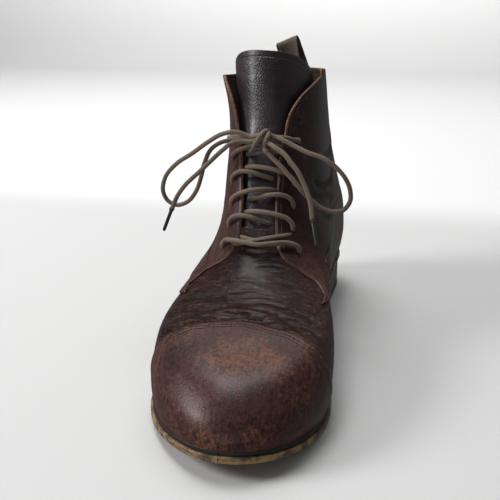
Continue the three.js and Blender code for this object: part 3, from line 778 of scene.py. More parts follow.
# Creases pressed into the upper, each through three places given by row and degrees around the boot, with
# its width and its height in millimetres; troughs are negative
CREASES = np.array(
    [
        [4.38, -15, 4.53, 3, 4.38, 20, 1.3, -1.7],
        [4.46, -20, 4.68, 0.8, 4.48, 22, 3.0, 1.6],
        [2.97, -41.3, 3.78, -31.7, 4.25, -20, 3, 1.3],
        [4.13, 25.8, 3.67, 35.8, 2.88, 43.8, 3, 1.2],
        [2.67, -42.5, 3.32, -35.5, 3.7, -30.2, 1.8, -0.8],
        [2.88, -48, 3.6, -39.7, 4.15, -30.2, 3, 0.8],
        [2.73, -46.7, 3.42, -39.7, 4, -32.3, 2, -0.7],
        [4.97, -13.5, 5.08, 4.3, 4.93, 18.8, 1.3, -0.5],
        [4.82, -1, 4.82, 13.3, 4.55, 29, 1.4, -0.6],
        [4.67, -4.7, 4.68, 11.3, 4.23, 33.5, 1.5, -0.7],
        [4.5, 9.3, 4.42, 22.5, 3.93, 36.5, 1.4, -0.6],
        [4.93, -2, 4.95, 10.5, 4.77, 24.5, 1.3, -0.4],
        [5.62, 2, 5.63, 13.8, 5.47, 25.5, 1, -0.4],
        [5.5, 4.5, 5.5, 14.7, 5.38, 23.5, 1, -0.35],
        [5.72, -0.5, 5.73, 11.5, 5.63, 21.7, 1, -0.3],
        [4.2, 28, 3.78, 36, 3.15, 42.8, 1.4, -0.6],
        [4.15, 33.2, 3.68, 41, 2.88, 47.8, 1.5, -0.6],
        [4.47, 30.5, 4.08, 40, 3.32, 49.5, 1.5, -0.5],
        [3.3, -58.2, 4.38, -38.8, 4.92, -12.5, 3, -0.5],
        [3.15, -51.7, 4.12, -38, 4.7, -10, 2.5, -0.6],
        [3.27, -52.8, 4.28, -36.5, 4.78, -11.2, 3, 0.5],
        [4.25, -25.8, 4.55, -10.5, 4.58, 6.2, 1.6, -0.7],
        [4.47, -7.8, 4.53, 7.8, 4.33, 22.3, 2, 0.6],
        [5.15, 18.8, 4.88, 32, 4.38, 44.8, 1.5, -0.4],
        [4.97, -28.2, 5.27, -4.5, 5.22, 12.5, 1.5, -0.35],
        [6.88, 57.5, 6.53, 71.8, 6.1, 101.3, 3, -1.4],
        [6.2, 80, 5.6, 100, 5.1, 125, 3.5, 1.0],
        [6.72, 47.5, 6.45, 61.3, 6, 85.2, 3, -0.8],
        [6.6, -58, 6.3, -75, 5.9, -100, 3, -1.1],
        [6.2, -60, 5.9, -78, 5.4, -105, 3.5, 0.9],
        [5.8, -64, 5.4, -80, 5.0, -108, 3, -0.9],
        [5.9, 66, 5.3, 88, 4.9, 115, 3, -0.9],
        [7.3, 70, 7, 95, 6.8, 125, 4, -0.7],
        [7.4, -75, 7.1, -98, 6.9, -125, 4, -0.7],
        [6.5, -150, 6.4, -180, 6.5, -210, 4, -0.8],
        [7.2, -155, 7.15, -182, 7.2, -205, 3.5, -0.6],
        [2.4, -62, 1.9, -75, 1.2, -84, 3, -0.6],
        [2.6, 62, 2, 76, 1.2, 86, 3, -0.6],
    ]
)


def crease_height(points):
    """Height of all creases at points, in millimetres. Each crease runs along a curve on the surface;
    across it the height falls as exp(-(distance / width)^2), and along it as the square root of sin."""
    total = np.zeros(points.shape[:-1])
    flat = points.reshape(-1, 3)
    for crease in CREASES:
        rows, degrees = crease[0:6:2], crease[1:6:2]
        t = np.linspace(0, 1, 25)
        path = skin(smooth([0, 0.5, 1], rows, t), np.radians(smooth([0, 0.5, 1], degrees, t)))
        width, height = crease[6:]
        reach = 3 * width
        low, high = path.min(0) - reach, path.max(0) + reach
        near = np.flatnonzero(((flat > low) & (flat < high)).all(-1))
        if not len(near):
            continue
        a, b = path[:-1], path[1:]
        step = b - a
        rel = flat[near][:, None] - a
        k = np.clip((rel * step).sum(-1) / (step * step).sum(-1), 0, 1)
        apart = np.linalg.norm(rel - step * k[..., None], axis=-1)
        best = apart.argmin(1)
        along = (best + k[np.arange(len(near)), best]) / len(step)
        fade = np.sqrt(np.clip(np.sin(np.pi * along), 0, 1))
        gap = apart[np.arange(len(near)), best] / width
        total.reshape(-1)[near] += height * fade * np.exp(-(gap**2))
    return total


def soft_spots(points, spots):
    """Sum of soft round spots: each is (row, degrees, reach, strength), and falls as
    exp(-(distance / reach)^2)."""
    total = np.zeros(points.shape[:-1])
    for row, degrees, reach, strength in spots:
        middle = skin(row, math.radians(degrees))
        total += strength * np.exp(-(((points - middle) ** 2).sum(-1)) / reach**2)
    return total


# Where the finish is rubbed: row, degrees, reach in millimetres, strength
RUBBED = (
    (3.6, 13, 17, 0.6),
    (3.75, 2, 13, 0.48),
    (3.4, 24, 14, 0.42),
    (3.5, -10, 12, 0.45),
    (1.4, 14, 8, 0.8),
    (0.5, -7, 7, 0.8),
    (0.45, 2, 9, 0.8),
    (2.4, 30, 14, 0.35),
    (3.4, 39, 9, 0.7),
    (4.4, 46, 9, 0.6),
    (4.55, 4, 10, 0.35),
    (3.5, -35, 9, 0.45),
    (3.1, -46, 9, 0.4),
    (2, -16, 16, 0.25),
    (0.6, 40, 9, 0.4),
    (0.6, -40, 9, 0.35),
    (1.2, 175, 18, 0.4),
)
# Where the leather is darkened: patches of thick wax, painted shade on the vamp's top in the throat under the
# lace bar (rows 5.8 to 6.2), and a darker tone over the medial quarter
WAXED_AND_SHADED = (
    (3.0, -29, 12, 0.8),
    (5.8, 8, 18, 1.0),
    (6.2, 2, 14, 1.4),
    (5.8, 6, 14, 1.0),
    (4.7, -30, 16, 0.35),
    (2.2, 8, 12, 0.3),
    (6.5, 80, 34, 0.9),
    (8, 60, 40, 1.0),
    (7.2, 45, 24, 1.2),
    (6.3, 48, 18, 1.0),
    (5.6, 58, 16, 0.6),
    (7.5, -150, 30, 0.3),
)


def rises(row, angle):
    """Row and angle paths made to climb a little at every step, so that a panel never folds over itself."""
    row = np.maximum.accumulate(row)
    return row + np.linspace(0, 1e-4, len(row)), angle


# The medial panels' lower edge is lifted most at one place: by a share of the shaft's height, at a share of
# the length, and over a reach
MEDIAL_LIFT, LIFT_AT, LIFT_REACH = 0.045, -0.08, 0.05


def panel_front(side, points, facing=False):
    """Front edge of a side panel as rows and angles, from the feather line to the collar. On the medial
    side its height gains MEDIAL_LIFT * exp(-((place - LIFT_AT) / LIFT_REACH)^2)."""
    lift = np.exp(-(((points[:, :1] - LIFT_AT) / LIFT_REACH) ** 2)) * (side > 0)
    points = points + [0.0, MEDIAL_LIFT] * lift
    y, z = along_points(points * [LENGTH, SHAFT_HEIGHT], count=200).T
    row, angle = seen_from_side(y, z, side)
    keep = (row > 0.02) & (row < 8.98)
    row, angle = row[keep], angle[keep]
    start = angle[0] - (angle[1] - angle[0]) * row[0] / max(1e-3, row[1] - row[0])
    row, angle = np.concatenate([[0.0], row]), np.concatenate([[start], angle])
    if facing:
        z = np.linspace(FACINGS[1, 0], FACINGS[-1, 0] + 2, 260)
        up, around = seen_from_front(facing_edge(side, z), z)
        join = up > row[-1] + 0.02
        row, angle = np.concatenate([row, up[join]]), np.concatenate([angle, around[join]])
    under = row < 9
    row, angle = row[under], angle[under]
    slope = (angle[-1] - angle[-4]) / (row[-1] - row[-4])
    row, angle = np.append(row, 9.0), np.append(angle, angle[-1] + slope * (9 - row[-1]))
    return rises(row, angle)


def even_path(row, angle, count):
    """The same path with its points at even steps along the surface."""
    run = run_along(skin(row, angle))
    even = np.linspace(0, run[-1], count)
    return np.interp(even, run, row), np.interp(even, run, angle)


def aside(row, angle, distance):
    """A path on the surface moved sideways by a distance, to the left of its direction seen from outside."""
    step = 1e-3
    here = skin(row, angle)
    by_row = (skin(row + step, angle) - here) / step
    by_angle = (skin(row, angle + step) - here) / step
    ahead = unit(np.gradient(here, axis=0))
    push = np.cross(outward(row, angle), ahead) * distance
    a, b, c = (by_row**2).sum(-1), (by_row * by_angle).sum(-1), (by_angle**2).sum(-1)
    p, q = (push * by_row).sum(-1), (push * by_angle).sum(-1)
    det = a * c - b * b
    return row + (c * p - b * q) / det, angle + (a * q - b * p) / det


def distance_to(points, path):
    """Shortest distance from each point to a path of points."""
    flat = points.reshape(-1, 3)
    best = np.full(len(flat), 1e9)
    for part in np.array_split(np.arange(len(flat)), max(1, len(flat) // 4000)):
        apart = np.linalg.norm(flat[part][:, None] - path, axis=-1)
        best[part] = apart.min(1)
    return best.reshape(points.shape[:-1])


def unevenness(points):
    """Slow waves of hand-worn leather, in millimetres: products of sines of the place."""
    x, y, z = points[..., 0], points[..., 1], points[..., 2]
    first = np.sin(0.11 * x + 0.07 * y + 0.5) * np.sin(0.09 * z - 0.06 * x + 1.1)
    second = np.sin(0.19 * y - 0.12 * z + 2.0) * np.sin(0.17 * x + 0.08 * z)
    return 0.22 * first + 0.12 * second


def leather_skin(row, angle, grow, creases=1.0):
    """The outer surface with its creases pressed in. Returns the points and the creases' height."""
    flat = skin(row, angle)
    folds = crease_height(flat) * creases * bpy.context.scene.boot_leather.crease
    return skin(row, angle, grow + folds + unevenness(flat)), folds


def leather_marks(flat, folds, edge, cut=0.0, wrinkled=0.0):
    """What the leather's material reads: height of the creases (on the vamp, less a painted shade line beside
    the toe cap), where it is rubbed, where thick wax and painted shade darken it, where it is finely
    wrinkled, the distance to the panel's edge and how raw that edge is."""
    wear = bpy.context.scene.boot_leather.wear
    whole = np.ones(flat.shape[:-1])
    return {
        "fold": folds,
        "rubbed": soft_spots(flat, RUBBED) * wear,
        "waxed_and_shaded": soft_spots(flat, WAXED_AND_SHADED),
        "edge": edge,
        "cut": whole * cut,
        "wrinkled": whole * wrinkled,
    }


# Shares of the length: how far the back panel's edge lies behind the quarters' lower edge, how far it
# leans back at the collar, and how much further back the medial one lies
PANEL_LAP, PANEL_LEAN, PANEL_MEDIAL = 0.012, 0.2, 0.06
# The stiff toe cap takes up only a share of the creases
CAP_CREASES = 0.2
# Rear edge of the toe cap: degrees around the boot and row
CAP_EDGE = np.array(
    [
        [-61, 0],
        [-56, 0.9],
        [-49.5, 1.88],
        [-41.3, 2.97],
        [-33.7, 3.68],
        [-19.5, 4.22],
        [-7.3, 4.4],
        [4.5, 4.45],
        [18.8, 4.25],
        [32.3, 3.8],
        [42.2, 3],
        [51.3, 1.82],
        [56.3, 1.02],
        [62, 0],
    ]
)


def front_rows(top, count):
    """Rows at even steps up the middle of the front."""
    rows = np.linspace(0, top, 400)
    return even_path(rows, np.zeros(400), count)[0]


def blended(first, second, share):
    """Goes in a straight line from first to second."""
    return first + (second - first) * share


def cap_edge_path(count):
    """Rear edge of the toe cap, as rows and angles."""
    degrees = np.linspace(CAP_EDGE[0, 0] + 3, CAP_EDGE[-1, 0] - 3, 240)
    row, angle = smooth(CAP_EDGE[:, 0], CAP_EDGE[:, 1], degrees), np.radians(degrees)
    return even_path(row, angle, count)


@functools.cache
def quarter_paths(side):
    """Front edge of a quarter, from the feather line over the facing to the collar."""
    row, angle = panel_front(side, LOWER_EDGE, facing=True)
    return even_path(row, angle, 230)


@functools.cache
def back_paths(side):
    """Front edge of the back panel: it follows the quarters' lower edge, then leans back up to the collar."""
    points = np.concatenate([LOWER_EDGE[:-1] + [PANEL_LAP, 0.0], PANEL_EDGE[1:]])
    lean = smooth([0.38, 0.55, 0.8, 1.05], [0, 0.4, 0.85, 1], points[:, 1])
    points[:, 0] += PANEL_LEAN * lean
    points[:, 0] += PANEL_MEDIAL * (side > 0)
    row, angle = panel_front(side, points)
    return even_path(row, angle, 200)


def one_mesh(things, name):
    """Copies the evaluated mesh of the first object, with its modifiers worked in, and drops the rest."""
    bpy.context.view_layer.update()
    first = things[0]
    seen = first.evaluated_get(bpy.context.evaluated_depsgraph_get())
    mesh = bpy.data.meshes.new_from_object(seen)
    mesh.name = name
    first.modifiers.clear()
    first.data = mesh
    for thing in things[1:]:
        bpy.data.objects.remove(thing)
    return first


def eyelet_inset(side, i):
    """Distance from the facing's edge: the holes were punched by hand and wander a little."""
    return EYELET_INSET - EYELET_WANDER[int(side > 0), i]


def eyelet_place(side, i):
    """Row and angle of an eyelet."""
    z = EYELETS[i]
    return seen_from_front(facing_edge(side, z) + side * eyelet_inset(side, i), z)


def punch(panel, side):
    """Cuts the eyelets out of a quarter with one mesh of short cylinders."""
    row, angle = eyelet_place(side, np.arange(len(EYELETS)))
    up = outward(row, angle)
    middle = skin(row, angle, 0.0)
    s = unit(np.cross(up, [0, 0, 1.0]))
    t = np.cross(up, s)
    sides = 20
    turn = np.linspace(0, 2 * np.pi, sides + 1)[:-1]
    ring = s[:, None] * np.cos(turn)[:, None] + t[:, None] * np.sin(turn)[:, None]
    ring = ring * (EYELET_HOLE / 2 - 0.3)
    ends = [middle[:, None] + ring + up[:, None] * reach for reach in (-4.0, 4.0)]
    points = np.stack(ends, 1).reshape(-1, 3)
    k = np.arange(sides)
    after = (k + 1) % sides
    wall = np.stack([k, after, sides + after, sides + k], -1)
    start = (np.arange(len(EYELETS)) * 2 * sides)[:, None, None]
    walls = (wall + start).reshape(-1, 4)
    lids = np.concatenate([k[::-1] + start[:, 0], sides + k + start[:, 0]])
    cutter = put_mesh("eyelet_punch", points, [walls, lids], panel.data.materials[0])
    cut = panel.modifiers.new("eyelets", "BOOLEAN")
    cut.operation, cut.solver, cut.object = "DIFFERENCE", "EXACT", cutter
    return one_mesh([panel, cutter], panel.name)


def settle(thing, slot_name, *replaced):
    """Gives a piece its body and hides the imported parts that it stands for. Its slot name is not used."""
    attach(thing, "root")
    if replaced:
        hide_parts(*replaced)
    return thing


# Finishes


def brown_leather():
    """Waxed leather: dark patches of wax and of painted shade, rubbed spots, fine wrinkles, stitch grooves
    and raw edges, with painted shade in crease troughs, wrinkle lines, stitch grooves and along panel edges.
    """
    look = bpy.context.scene.boot_leather
    paint = Paint("waxed brown leather")
    base, dark, rub = tuple(look.base), tuple(look.dark), tuple(look.rub)
    side, fold, edge = paint.mark("side"), paint.mark("fold"), paint.mark("edge")
    broad = paint.noise(22.0, detail=4.0, rough=0.6)
    blotch = paint.noise(80.0, detail=6.0, rough=0.7)
    speck = paint.noise(480.0, detail=5.0, rough=0.75)
    streak = paint.noise(420.0, detail=3.0, rough=0.6, at=paint.stretched(2.6, 0.35, 0.5), warp=0.5)
    wrinkle = paint.noise(400.0, detail=6.0, rough=0.7, at=paint.stretched(0.24, 1.3, 1.3), warp=0.7)
    fine = paint.noise(800.0, detail=3.0, at=paint.stretched(0.3, 1.3, 1.3), warp=0.5)
    folded = (fold.size().ramp(0.05, 0.7) * 0.35 + paint.mark("wrinkled")).least(1.0)
    lines = (wrinkle - 0.5).size().ramp(0.0, 0.06) * 0.7 + (fine - 0.5).size().ramp(0.0, 0.08) * 0.3
    # Dark patches: thick wax, and painted shade in the throat under the lace bar
    waxed_and_shaded = (paint.mark("waxed_and_shaded") + (broad - 0.5) * 1.4 + (blotch - 0.5) * 1.2).ramp(0.0, 0.8)
    tone = paint.mix(waxed_and_shaded, base, dark)
    red = tuple(blended(b, r, 0.35) for b, r in zip(base, rub))
    ruddy = (blotch * 0.45 + speck * 0.4 + streak * 0.15).ramp(0.47, 0.6)
    tone = paint.mix(ruddy * (0.85 - waxed_and_shaded * 0.5), tone, red)
    tone = paint.mix((speck * 0.6 + streak * 0.4).ramp(0.4, 0.52, 1.0, 0.0) * 0.8, tone, dark)
    worn = paint.mark("rubbed") * 0.55 + (blotch - 0.5) * 1.3 + (speck - 0.5) * 1.7 + (streak - 0.5) * 0.5
    worn = (worn + fold.ramp(0.3, 1.4) * 0.35 - waxed_and_shaded * 0.4).ramp(0.2, 0.95)
    tone = paint.mix(worn * 0.85, tone, rub)
    tone = paint.mix(edge.ramp(0.0, 1.2, 1.0, 0.0) * 0.25, tone, rub)
    trough = fold.ramp(-1.0, -0.12, 1.0, 0.0)
    # A third of the dark colour: painted shade in troughs, wrinkle lines and stitch grooves, and the dark of
    # uncut rims
    deep = times(dark, 0.3)
    tone = paint.mix((speck - 0.3).ramp(0.22, 0.36) * folded * 0.5, tone, rub)
    # Painted shade in the grooves of the fine wrinkles, which are only bumps
    tone = paint.mix((1.0 - lines) * folded * 0.85, tone, deep)
    # Painted shade in both stitch grooves, and a painted shadow line along the panel's edge
    first, second = (groove(edge, inset, 0.45) for inset in SEAMS)
    shaded_seams = first.most(second * (1.0 - paint.mark("cut"))).most(edge.ramp(0.0, 0.5, 1.0, 0.0) * 0.6)
    tone = paint.mix(shaded_seams * 0.6, tone, deep)
    # Painted shade in the creases' troughs
    tone = paint.mix(trough * (0.35 + folded * 0.4), tone, deep)
    raw = (side - 0.5).size().ramp(0.22, 0.4, 1.0, 0.0)
    fibre = paint.noise(700.0, detail=3.0)
    tan = paint.mix(fibre.ramp(0.42, 0.62), tuple(look.edge), times(look.edge, 0.3))
    tan = paint.mix(paint.mark("cut") * 0.85, deep, tan)
    tone = paint.mix(raw, tone, tan)
    inside = side.ramp(0.72, 0.9)
    lining = paint.mix(broad.ramp(0.35, 0.7), tuple(look.lining), times(look.lining, 0.5))
    tone = paint.mix(inside, tone, lining)
    grain = paint.cells(950.0)
    pores = paint.noise(2300.0, detail=2.0)
    skin_bump = paint.bump(grain * 0.3 + pores * 0.25 + speck * 0.45, 0.0003, 0.6)
    relief = wrinkle * 0.45 + fine * 0.2 + lines * 0.3
    skin_bump = paint.bump(relief, 0.004, folded * 0.94 + 0.06, below=skin_bump)
    skin_bump = paint.bump(shaded_seams * -1.0, 0.0006, 0.8, below=skin_bump)
    rough = 0.36 - folded * 0.04 + worn * 0.2 + (speck - 0.5) * 0.3 + trough * 0.2 + raw * 0.4 + inside * 0.4
    return paint.finish(
        base_color=tone,
        roughness=rough,
        normal=skin_bump,
        coat_weight=(waxed_and_shaded * 0.04 + folded * 0.06 + 0.03) * (1.0 - worn) * (1.0 - inside),
        coat_roughness=0.25,
        specular_ior_level=0.15,
    )


def tongue_leather():
    """Near black leather with a pebbled grain and a broad sheen."""
    look = bpy.context.scene.boot_leather
    paint = Paint("tongue leather")
    tone = tuple(look.tongue)
    side = paint.mark("side")
    broad = paint.noise(30.0, detail=3.0)
    lift = times(tone, 1.9)
    shade = paint.mix(broad.ramp(0.4, 0.7), tone, lift)
    raw = (side - 0.5).size().ramp(0.1, 0.3, 1.0, 0.0)
    shade = paint.mix(raw * 0.7, shade, times(look.edge, 0.3))
    inside = side.ramp(0.75, 0.95)
    shade = paint.mix(inside, shade, times(look.lining, 0.6))
    pebble = paint.cells(620.0, feature="DISTANCE_TO_EDGE").ramp(0.0, 0.3)
    fine = paint.noise(1500.0, detail=3.0)
    wrinkle = paint.noise(150.0, detail=4.0, at=paint.stretched(0.6, 1.0, 1.6), warp=0.8)
    bump = paint.bump(pebble * 0.75 + fine * 0.25, 0.0005, 0.36)
    bump = paint.bump(wrinkle, 0.0012, 0.4, below=bump)
    bump = paint.bump(groove(paint.mark("edge"), 3.4, 0.9) * -1.0, 0.0006, 0.7, below=bump)
    rough = 0.4 + (broad - 0.5) * 0.2 + inside * 0.4
    return paint.finish(
        base_color=shade,
        roughness=rough,
        normal=bump,
        coat_weight=0.2,
        coat_roughness=0.28,
        specular_ior_level=0.35,
    )


def plain_leather(name, tone, shine=0.6, strength=0.5):
    """Leather of one tone with soft blotches and a fibrous surface."""
    paint = Paint(name)
    blotch = paint.noise(90.0, detail=4.0)
    fibre = paint.noise(1100.0, detail=3.0)
    shade = paint.mix(blotch.ramp(0.35, 0.7), tone, times(tone, 0.6))
    bump = paint.bump(fibre, 0.0004, strength)
    return paint.finish(base_color=shade, roughness=shine + (fibre - 0.5) * 0.2, normal=bump)


def waxed_cord():
    """Braid: two sets of slanting waves that cross, from the share around and millimetres along."""
    paint = Paint("waxed cord")
    tone = tuple(bpy.context.scene.boot_lace.cord)
    around, along, _ = paint.axes(paint.node("ShaderNodeTexCoord", out="UV"))
    strands, lay = around * (math.tau * 6), along * (math.tau / 1.7)
    first, second = (strands + lay).wave(), (strands - lay).wave()
    braid = first.most(second)
    fuzz = paint.noise(1900.0, detail=3.0)
    dirt = paint.noise(160.0, detail=3.0)
    # Painted shade between the braid's strands: darker where the braid is low
    shade = paint.mix(braid.ramp(-0.2, 0.9), times(tone, 0.5), tone)
    shade = paint.mix(dirt.ramp(0.45, 0.75) * 0.5, shade, times(tone, 0.45))
    bump = paint.bump(fuzz, 0.0003, 0.5)
    bump = paint.bump(braid, 0.0004, 0.7, below=bump)
    return paint.finish(base_color=shade, roughness=0.62, normal=bump, sheen_weight=0.1)


def sole_edge():
    """Tan edge with dark dirt, and faint lines along it."""
    look = bpy.context.scene.boot_sole
    paint = Paint("worn sole edge")
    tone, dirt = tuple(look.edge), tuple(look.dirt)
    lines = paint.noise(260.0, detail=4.0, rough=0.7, at=paint.stretched(0.25, 0.25, 3.0))
    spots = paint.noise(190.0, detail=5.0, rough=0.7)
    fine = paint.noise(1400.0, detail=3.0)
    pale = tuple(min(1.0, c * 1.35) for c in tone)
    shade = paint.mix(fine.ramp(0.4, 0.65), tone, pale)
    shade = paint.mix((spots * 0.6 + lines * 0.4).ramp(0.43, 0.56) * 0.9, shade, dirt)
    shade = paint.mix(fine.ramp(0.6, 0.8) * 0.5, shade, dirt)
    bump = paint.bump(fine * 0.5 + lines * 0.5, 0.0007, 0.7)
    return paint.finish(base_color=shade, roughness=0.72 + (fine - 0.5) * 0.2, normal=bump)


def heel_lifts():
    """Stacked leather: a thin dark line every few millimetres up."""
    look = bpy.context.scene.boot_sole
    paint = Paint("stacked heel")
    rise = paint.axes(paint.place())[2]
    wander = paint.noise(40.0, detail=2.0)
    step = ((rise * (math.tau / 0.0052)) + wander * 1.2).wave()
    line = step.ramp(0.86, 0.99)
    fibre = paint.noise(900.0, detail=4.0, at=paint.stretched(0.3, 0.3, 2.5))
    tone = times(look.edge, 0.42)
    shade = paint.mix(fibre.ramp(0.35, 0.7), tone, tuple(look.dirt))
    shade = paint.mix(line * 0.8, shade, tuple(look.welt))
    bump = paint.bump(fibre * 0.4 - line, 0.0006, 0.6)
    return paint.finish(base_color=shade, roughness=0.5 + (fibre - 0.5) * 0.2, normal=bump)


def plain(name, tone, rough, bump_size=0.0003, scale=900.0):
    """One tone with a fine grain."""
    paint = Paint(name)
    fine = paint.noise(scale, detail=3.0)
    shade = paint.mix(fine.ramp(0.4, 0.7), tone, times(tone, 0.6))
    return paint.finish(base_color=shade, roughness=rough, normal=paint.bump(fine, bump_size, 0.5))


MADE = {}


def finish_for(key):
    """The material of that name, made once."""
    leather, sole = bpy.context.scene.boot_leather, bpy.context.scene.boot_sole
    makers = {
        "upper": brown_leather,
        "tongue": tongue_leather,
        "tab": lambda: plain_leather("pull tab strip", tuple(leather.tab), 0.65),
        "insole": lambda: plain_leather("insole leather", tuple(leather.lining), 0.7),
        "cord": waxed_cord,
        "tip": lambda: plain("lace tip", tuple(bpy.context.scene.boot_lace.tip), 0.3, 0.0001),
        "thread": lambda: plain("thread", tuple(leather.thread), 0.5, 0.0002, 2500.0),
        "sole": sole_edge,
        "lifts": heel_lifts,
        "welt": lambda: plain("black welt", tuple(sole.welt), 0.55, 0.0005, 500.0),
        "rubber": lambda: plain("heel rubber", tuple(sole.rubber), 0.75, 0.0004, 700.0),
    }
    if key not in MADE:
        MADE[key] = makers[key]()
    return MADE[key]


# Operators


class BOOT_OT_sole(bpy.types.Operator):
    """Outsole, welt, stacked heel and its top piece: outlines grown from the feather line"""

    bl_idname = "boot.sole"
    bl_label = "Sole and heel"

    def layer(self, margin, height, start=0.0, count=240, across=14):
        """Grid over a sole layer: each row joins the two sides at one place along the foot."""
        front, back = SECTIONS[0, 0], SECTIONS[0, 2]
        first = math.acos(1 - 2 * max(0.0, (start - front) / (back - front))) if start else 0.012
        angle = np.linspace(first, np.pi - 0.012, count)
        medial, lateral = skin(0.0, angle, margin), skin(0.0, -angle, margin)
        t = np.linspace(0, 1, across)[None, :, None]
        grid = lateral[:, None] + (medial - lateral)[:, None] * t
        if start:
            grid[0, :, 1] = (start - 0.5) * LENGTH
        grid[..., 2] = height(grid[..., 1] / LENGTH + 0.5)
        return grid

    def execute(self, context):
        place = self.layer
        low, high = underside, lambda s: underside(s) + OUTSOLE
        outer = place(OUTSOLE_MARGIN - 0.5, high)
        outer[..., 2] += 0.1
        outsole = sheet_mesh(
            "Outsole", outer, place(OUTSOLE_MARGIN - 0.5, low), finish_for("sole"), SQUARE_RIM, 0.55
        )
        settle(outsole, "sole_leather", "outsole")
        upper = place(WELT_MARGIN - 0.4, lambda s: feather(s) + 0.25)
        lower = place(WELT_MARGIN - 0.4, lambda s: underside(s) + OUTSOLE + 0.05)
        welt = sheet_mesh("Welt", upper, lower, finish_for("welt"), SQUARE_RIM, 0.45)
        settle(welt, "welt_leather", "welt")
        top = place(HEEL_MARGIN - 0.3, lambda s: underside(s) - 0.05, HEEL_BREAST, 90)
        flat = place(HEEL_MARGIN - 0.3, lambda s: 0 * s + TOP_PIECE + 0.1, HEEL_BREAST, 90)
        heel = sheet_mesh("Heel_stack", top, flat, finish_for("lifts"), SQUARE_RIM, 0.35)
        settle(heel, "sole_leather", "heel_stack")
        top = place(HEEL_MARGIN - 0.2, lambda s: 0 * s + TOP_PIECE, HEEL_BREAST, 90)
        flat = place(HEEL_MARGIN - 0.2, lambda s: 0 * s, HEEL_BREAST, 90)
        piece = sheet_mesh("Heel_top_piece", top, flat, finish_for("rubber"), SQUARE_RIM, 0.35)
        settle(piece, "heel_rubber", "heel_top_piece")
        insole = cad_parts["insole"]
        insole.data.materials.clear()
        insole.data.materials.append(finish_for("insole"))
        return {"FINISHED"}


class BOOT_OT_vamp(bpy.types.Operator):
    """Front of the upper: it bends at the ball, runs up under the lacing and under both quarters"""

    bl_idname = "boot.vamp"
    bl_label = "Vamp"

    def execute(self, context):
        rows = front_rows(6.25, 170)
        share = np.linspace(-1, 1, 170)
        reach = []
        for side in (-1, 1):
            row, angle = quarter_paths(side)
            reach.append(np.abs(np.interp(rows, row, angle)) + 0.13)
        turn = np.where(share < 0, reach[0][:, None], reach[1][:, None]) * share
        row = np.broadcast_to(rows[:, None], turn.shape)
        flat = skin(row, turn)
        outer, folds = leather_skin(row, turn, 0.0)
        inner = skin(row, turn, -WALL + 0.4)
        wrinkled = (0.95 - 0.45 * np.clip((row - 5.7) / 0.4, 0, 1)) * (0.6 + 0.4 * np.cos(turn))
        seam = distance_to(flat, skin(*cap_edge_path(260)))
        # Painted shade: the fold mark dips beside the toe cap's edge so the vamp darkens along the seam; the
        # leather itself is not lowered
        shaded = folds - 1.7 * np.exp(-((seam / 1.2) ** 2))
        marks = leather_marks(flat, shaded, distance_to(flat, flat[-1]) + 6.0, wrinkled=wrinkled)
        vamp = sheet_mesh("Vamp", outer, inner, finish_for("upper"), bulge=0.5, marks=marks)
        settle(vamp, "upper_leather", "upper")
        return {"FINISHED"}


class BOOT_OT_toe_cap(bpy.types.Operator):
    """Toe cap over the vamp, with a cut rear edge"""

    bl_idname = "boot.toe_cap"
    bl_label = "Toe cap"

    def execute(self, context):
        degrees = np.linspace(CAP_EDGE[0, 0] + 2, CAP_EDGE[-1, 0] - 2, 170)
        last = smooth(CAP_EDGE[:, 0], CAP_EDGE[:, 1], degrees)
        top = 4.4
        rows = front_rows(top, 110) / top
        row = rows[:, None] * np.maximum(0.2, last)
        turn = np.broadcast_to(np.radians(degrees), row.shape)
        flat = skin(row, turn)
        edge = distance_to(flat, flat[-1])
        outer, folds = leather_skin(row, turn, CAP_STEP - 0.25 * np.exp(-edge), CAP_CREASES)
        inner = skin(row, turn, -0.5)
        marks = leather_marks(flat, folds, edge)
        cap = sheet_mesh("Toe_cap", outer, inner, finish_for("upper"), bulge=0.3, marks=marks)
        settle(cap, "upper_leather")
        return {"FINISHED"}


class BOOT_OT_quarters(bpy.types.Operator):
    """Both quarters: from the open facings, with their eyelets, around to the back"""

    bl_idname = "boot.quarters"
    bl_label = "Quarters"

    def execute(self, context):
        for side, name in ((-1, "Quarter_lateral"), (1, "Quarter_medial")):
            row, angle = quarter_paths(side)
            across = np.linspace(0, 1, 120) ** 1.15
            turn = angle[:, None] + (side * np.pi - angle[:, None]) * across
            row = np.broadcast_to(row[:, None], turn.shape)
            if side < 0:
                turn, row = turn[:, ::-1], row[:, ::-1]
            flat = skin(row, turn)
            front = flat[:, 0] if side > 0 else flat[:, -1]
            edge = distance_to(flat, front)
            flare = (2.2 if side < 0 else 0.0) * np.exp(-edge / 9) * np.clip((row - 6.8) / 2, 0, 1)
            outer, folds = leather_skin(row, turn, QUARTER_STEP + flare - 0.3 * np.exp(-edge / 0.8))
            high = np.clip((row - 6.6) / 1.2, 0, 1)
            thin = 0.15 + (WALL - 0.15) * np.clip(edge / 14, 0, 1)
            inner = skin(row, turn, flare - np.maximum(thin, (1.3 if side < 0 else 0.9) * high))
            cut = np.clip((flat[..., 2] - 58) / 10, 0, 1)
            marks = leather_marks(flat, folds, np.minimum(edge, distance_to(flat, flat[-1])), cut)
            panel = sheet_mesh(name, outer, inner, finish_for("upper"), bulge=0.5, marks=marks)
            settle(punch(panel, side), "upper_leather")
        return {"FINISHED"}


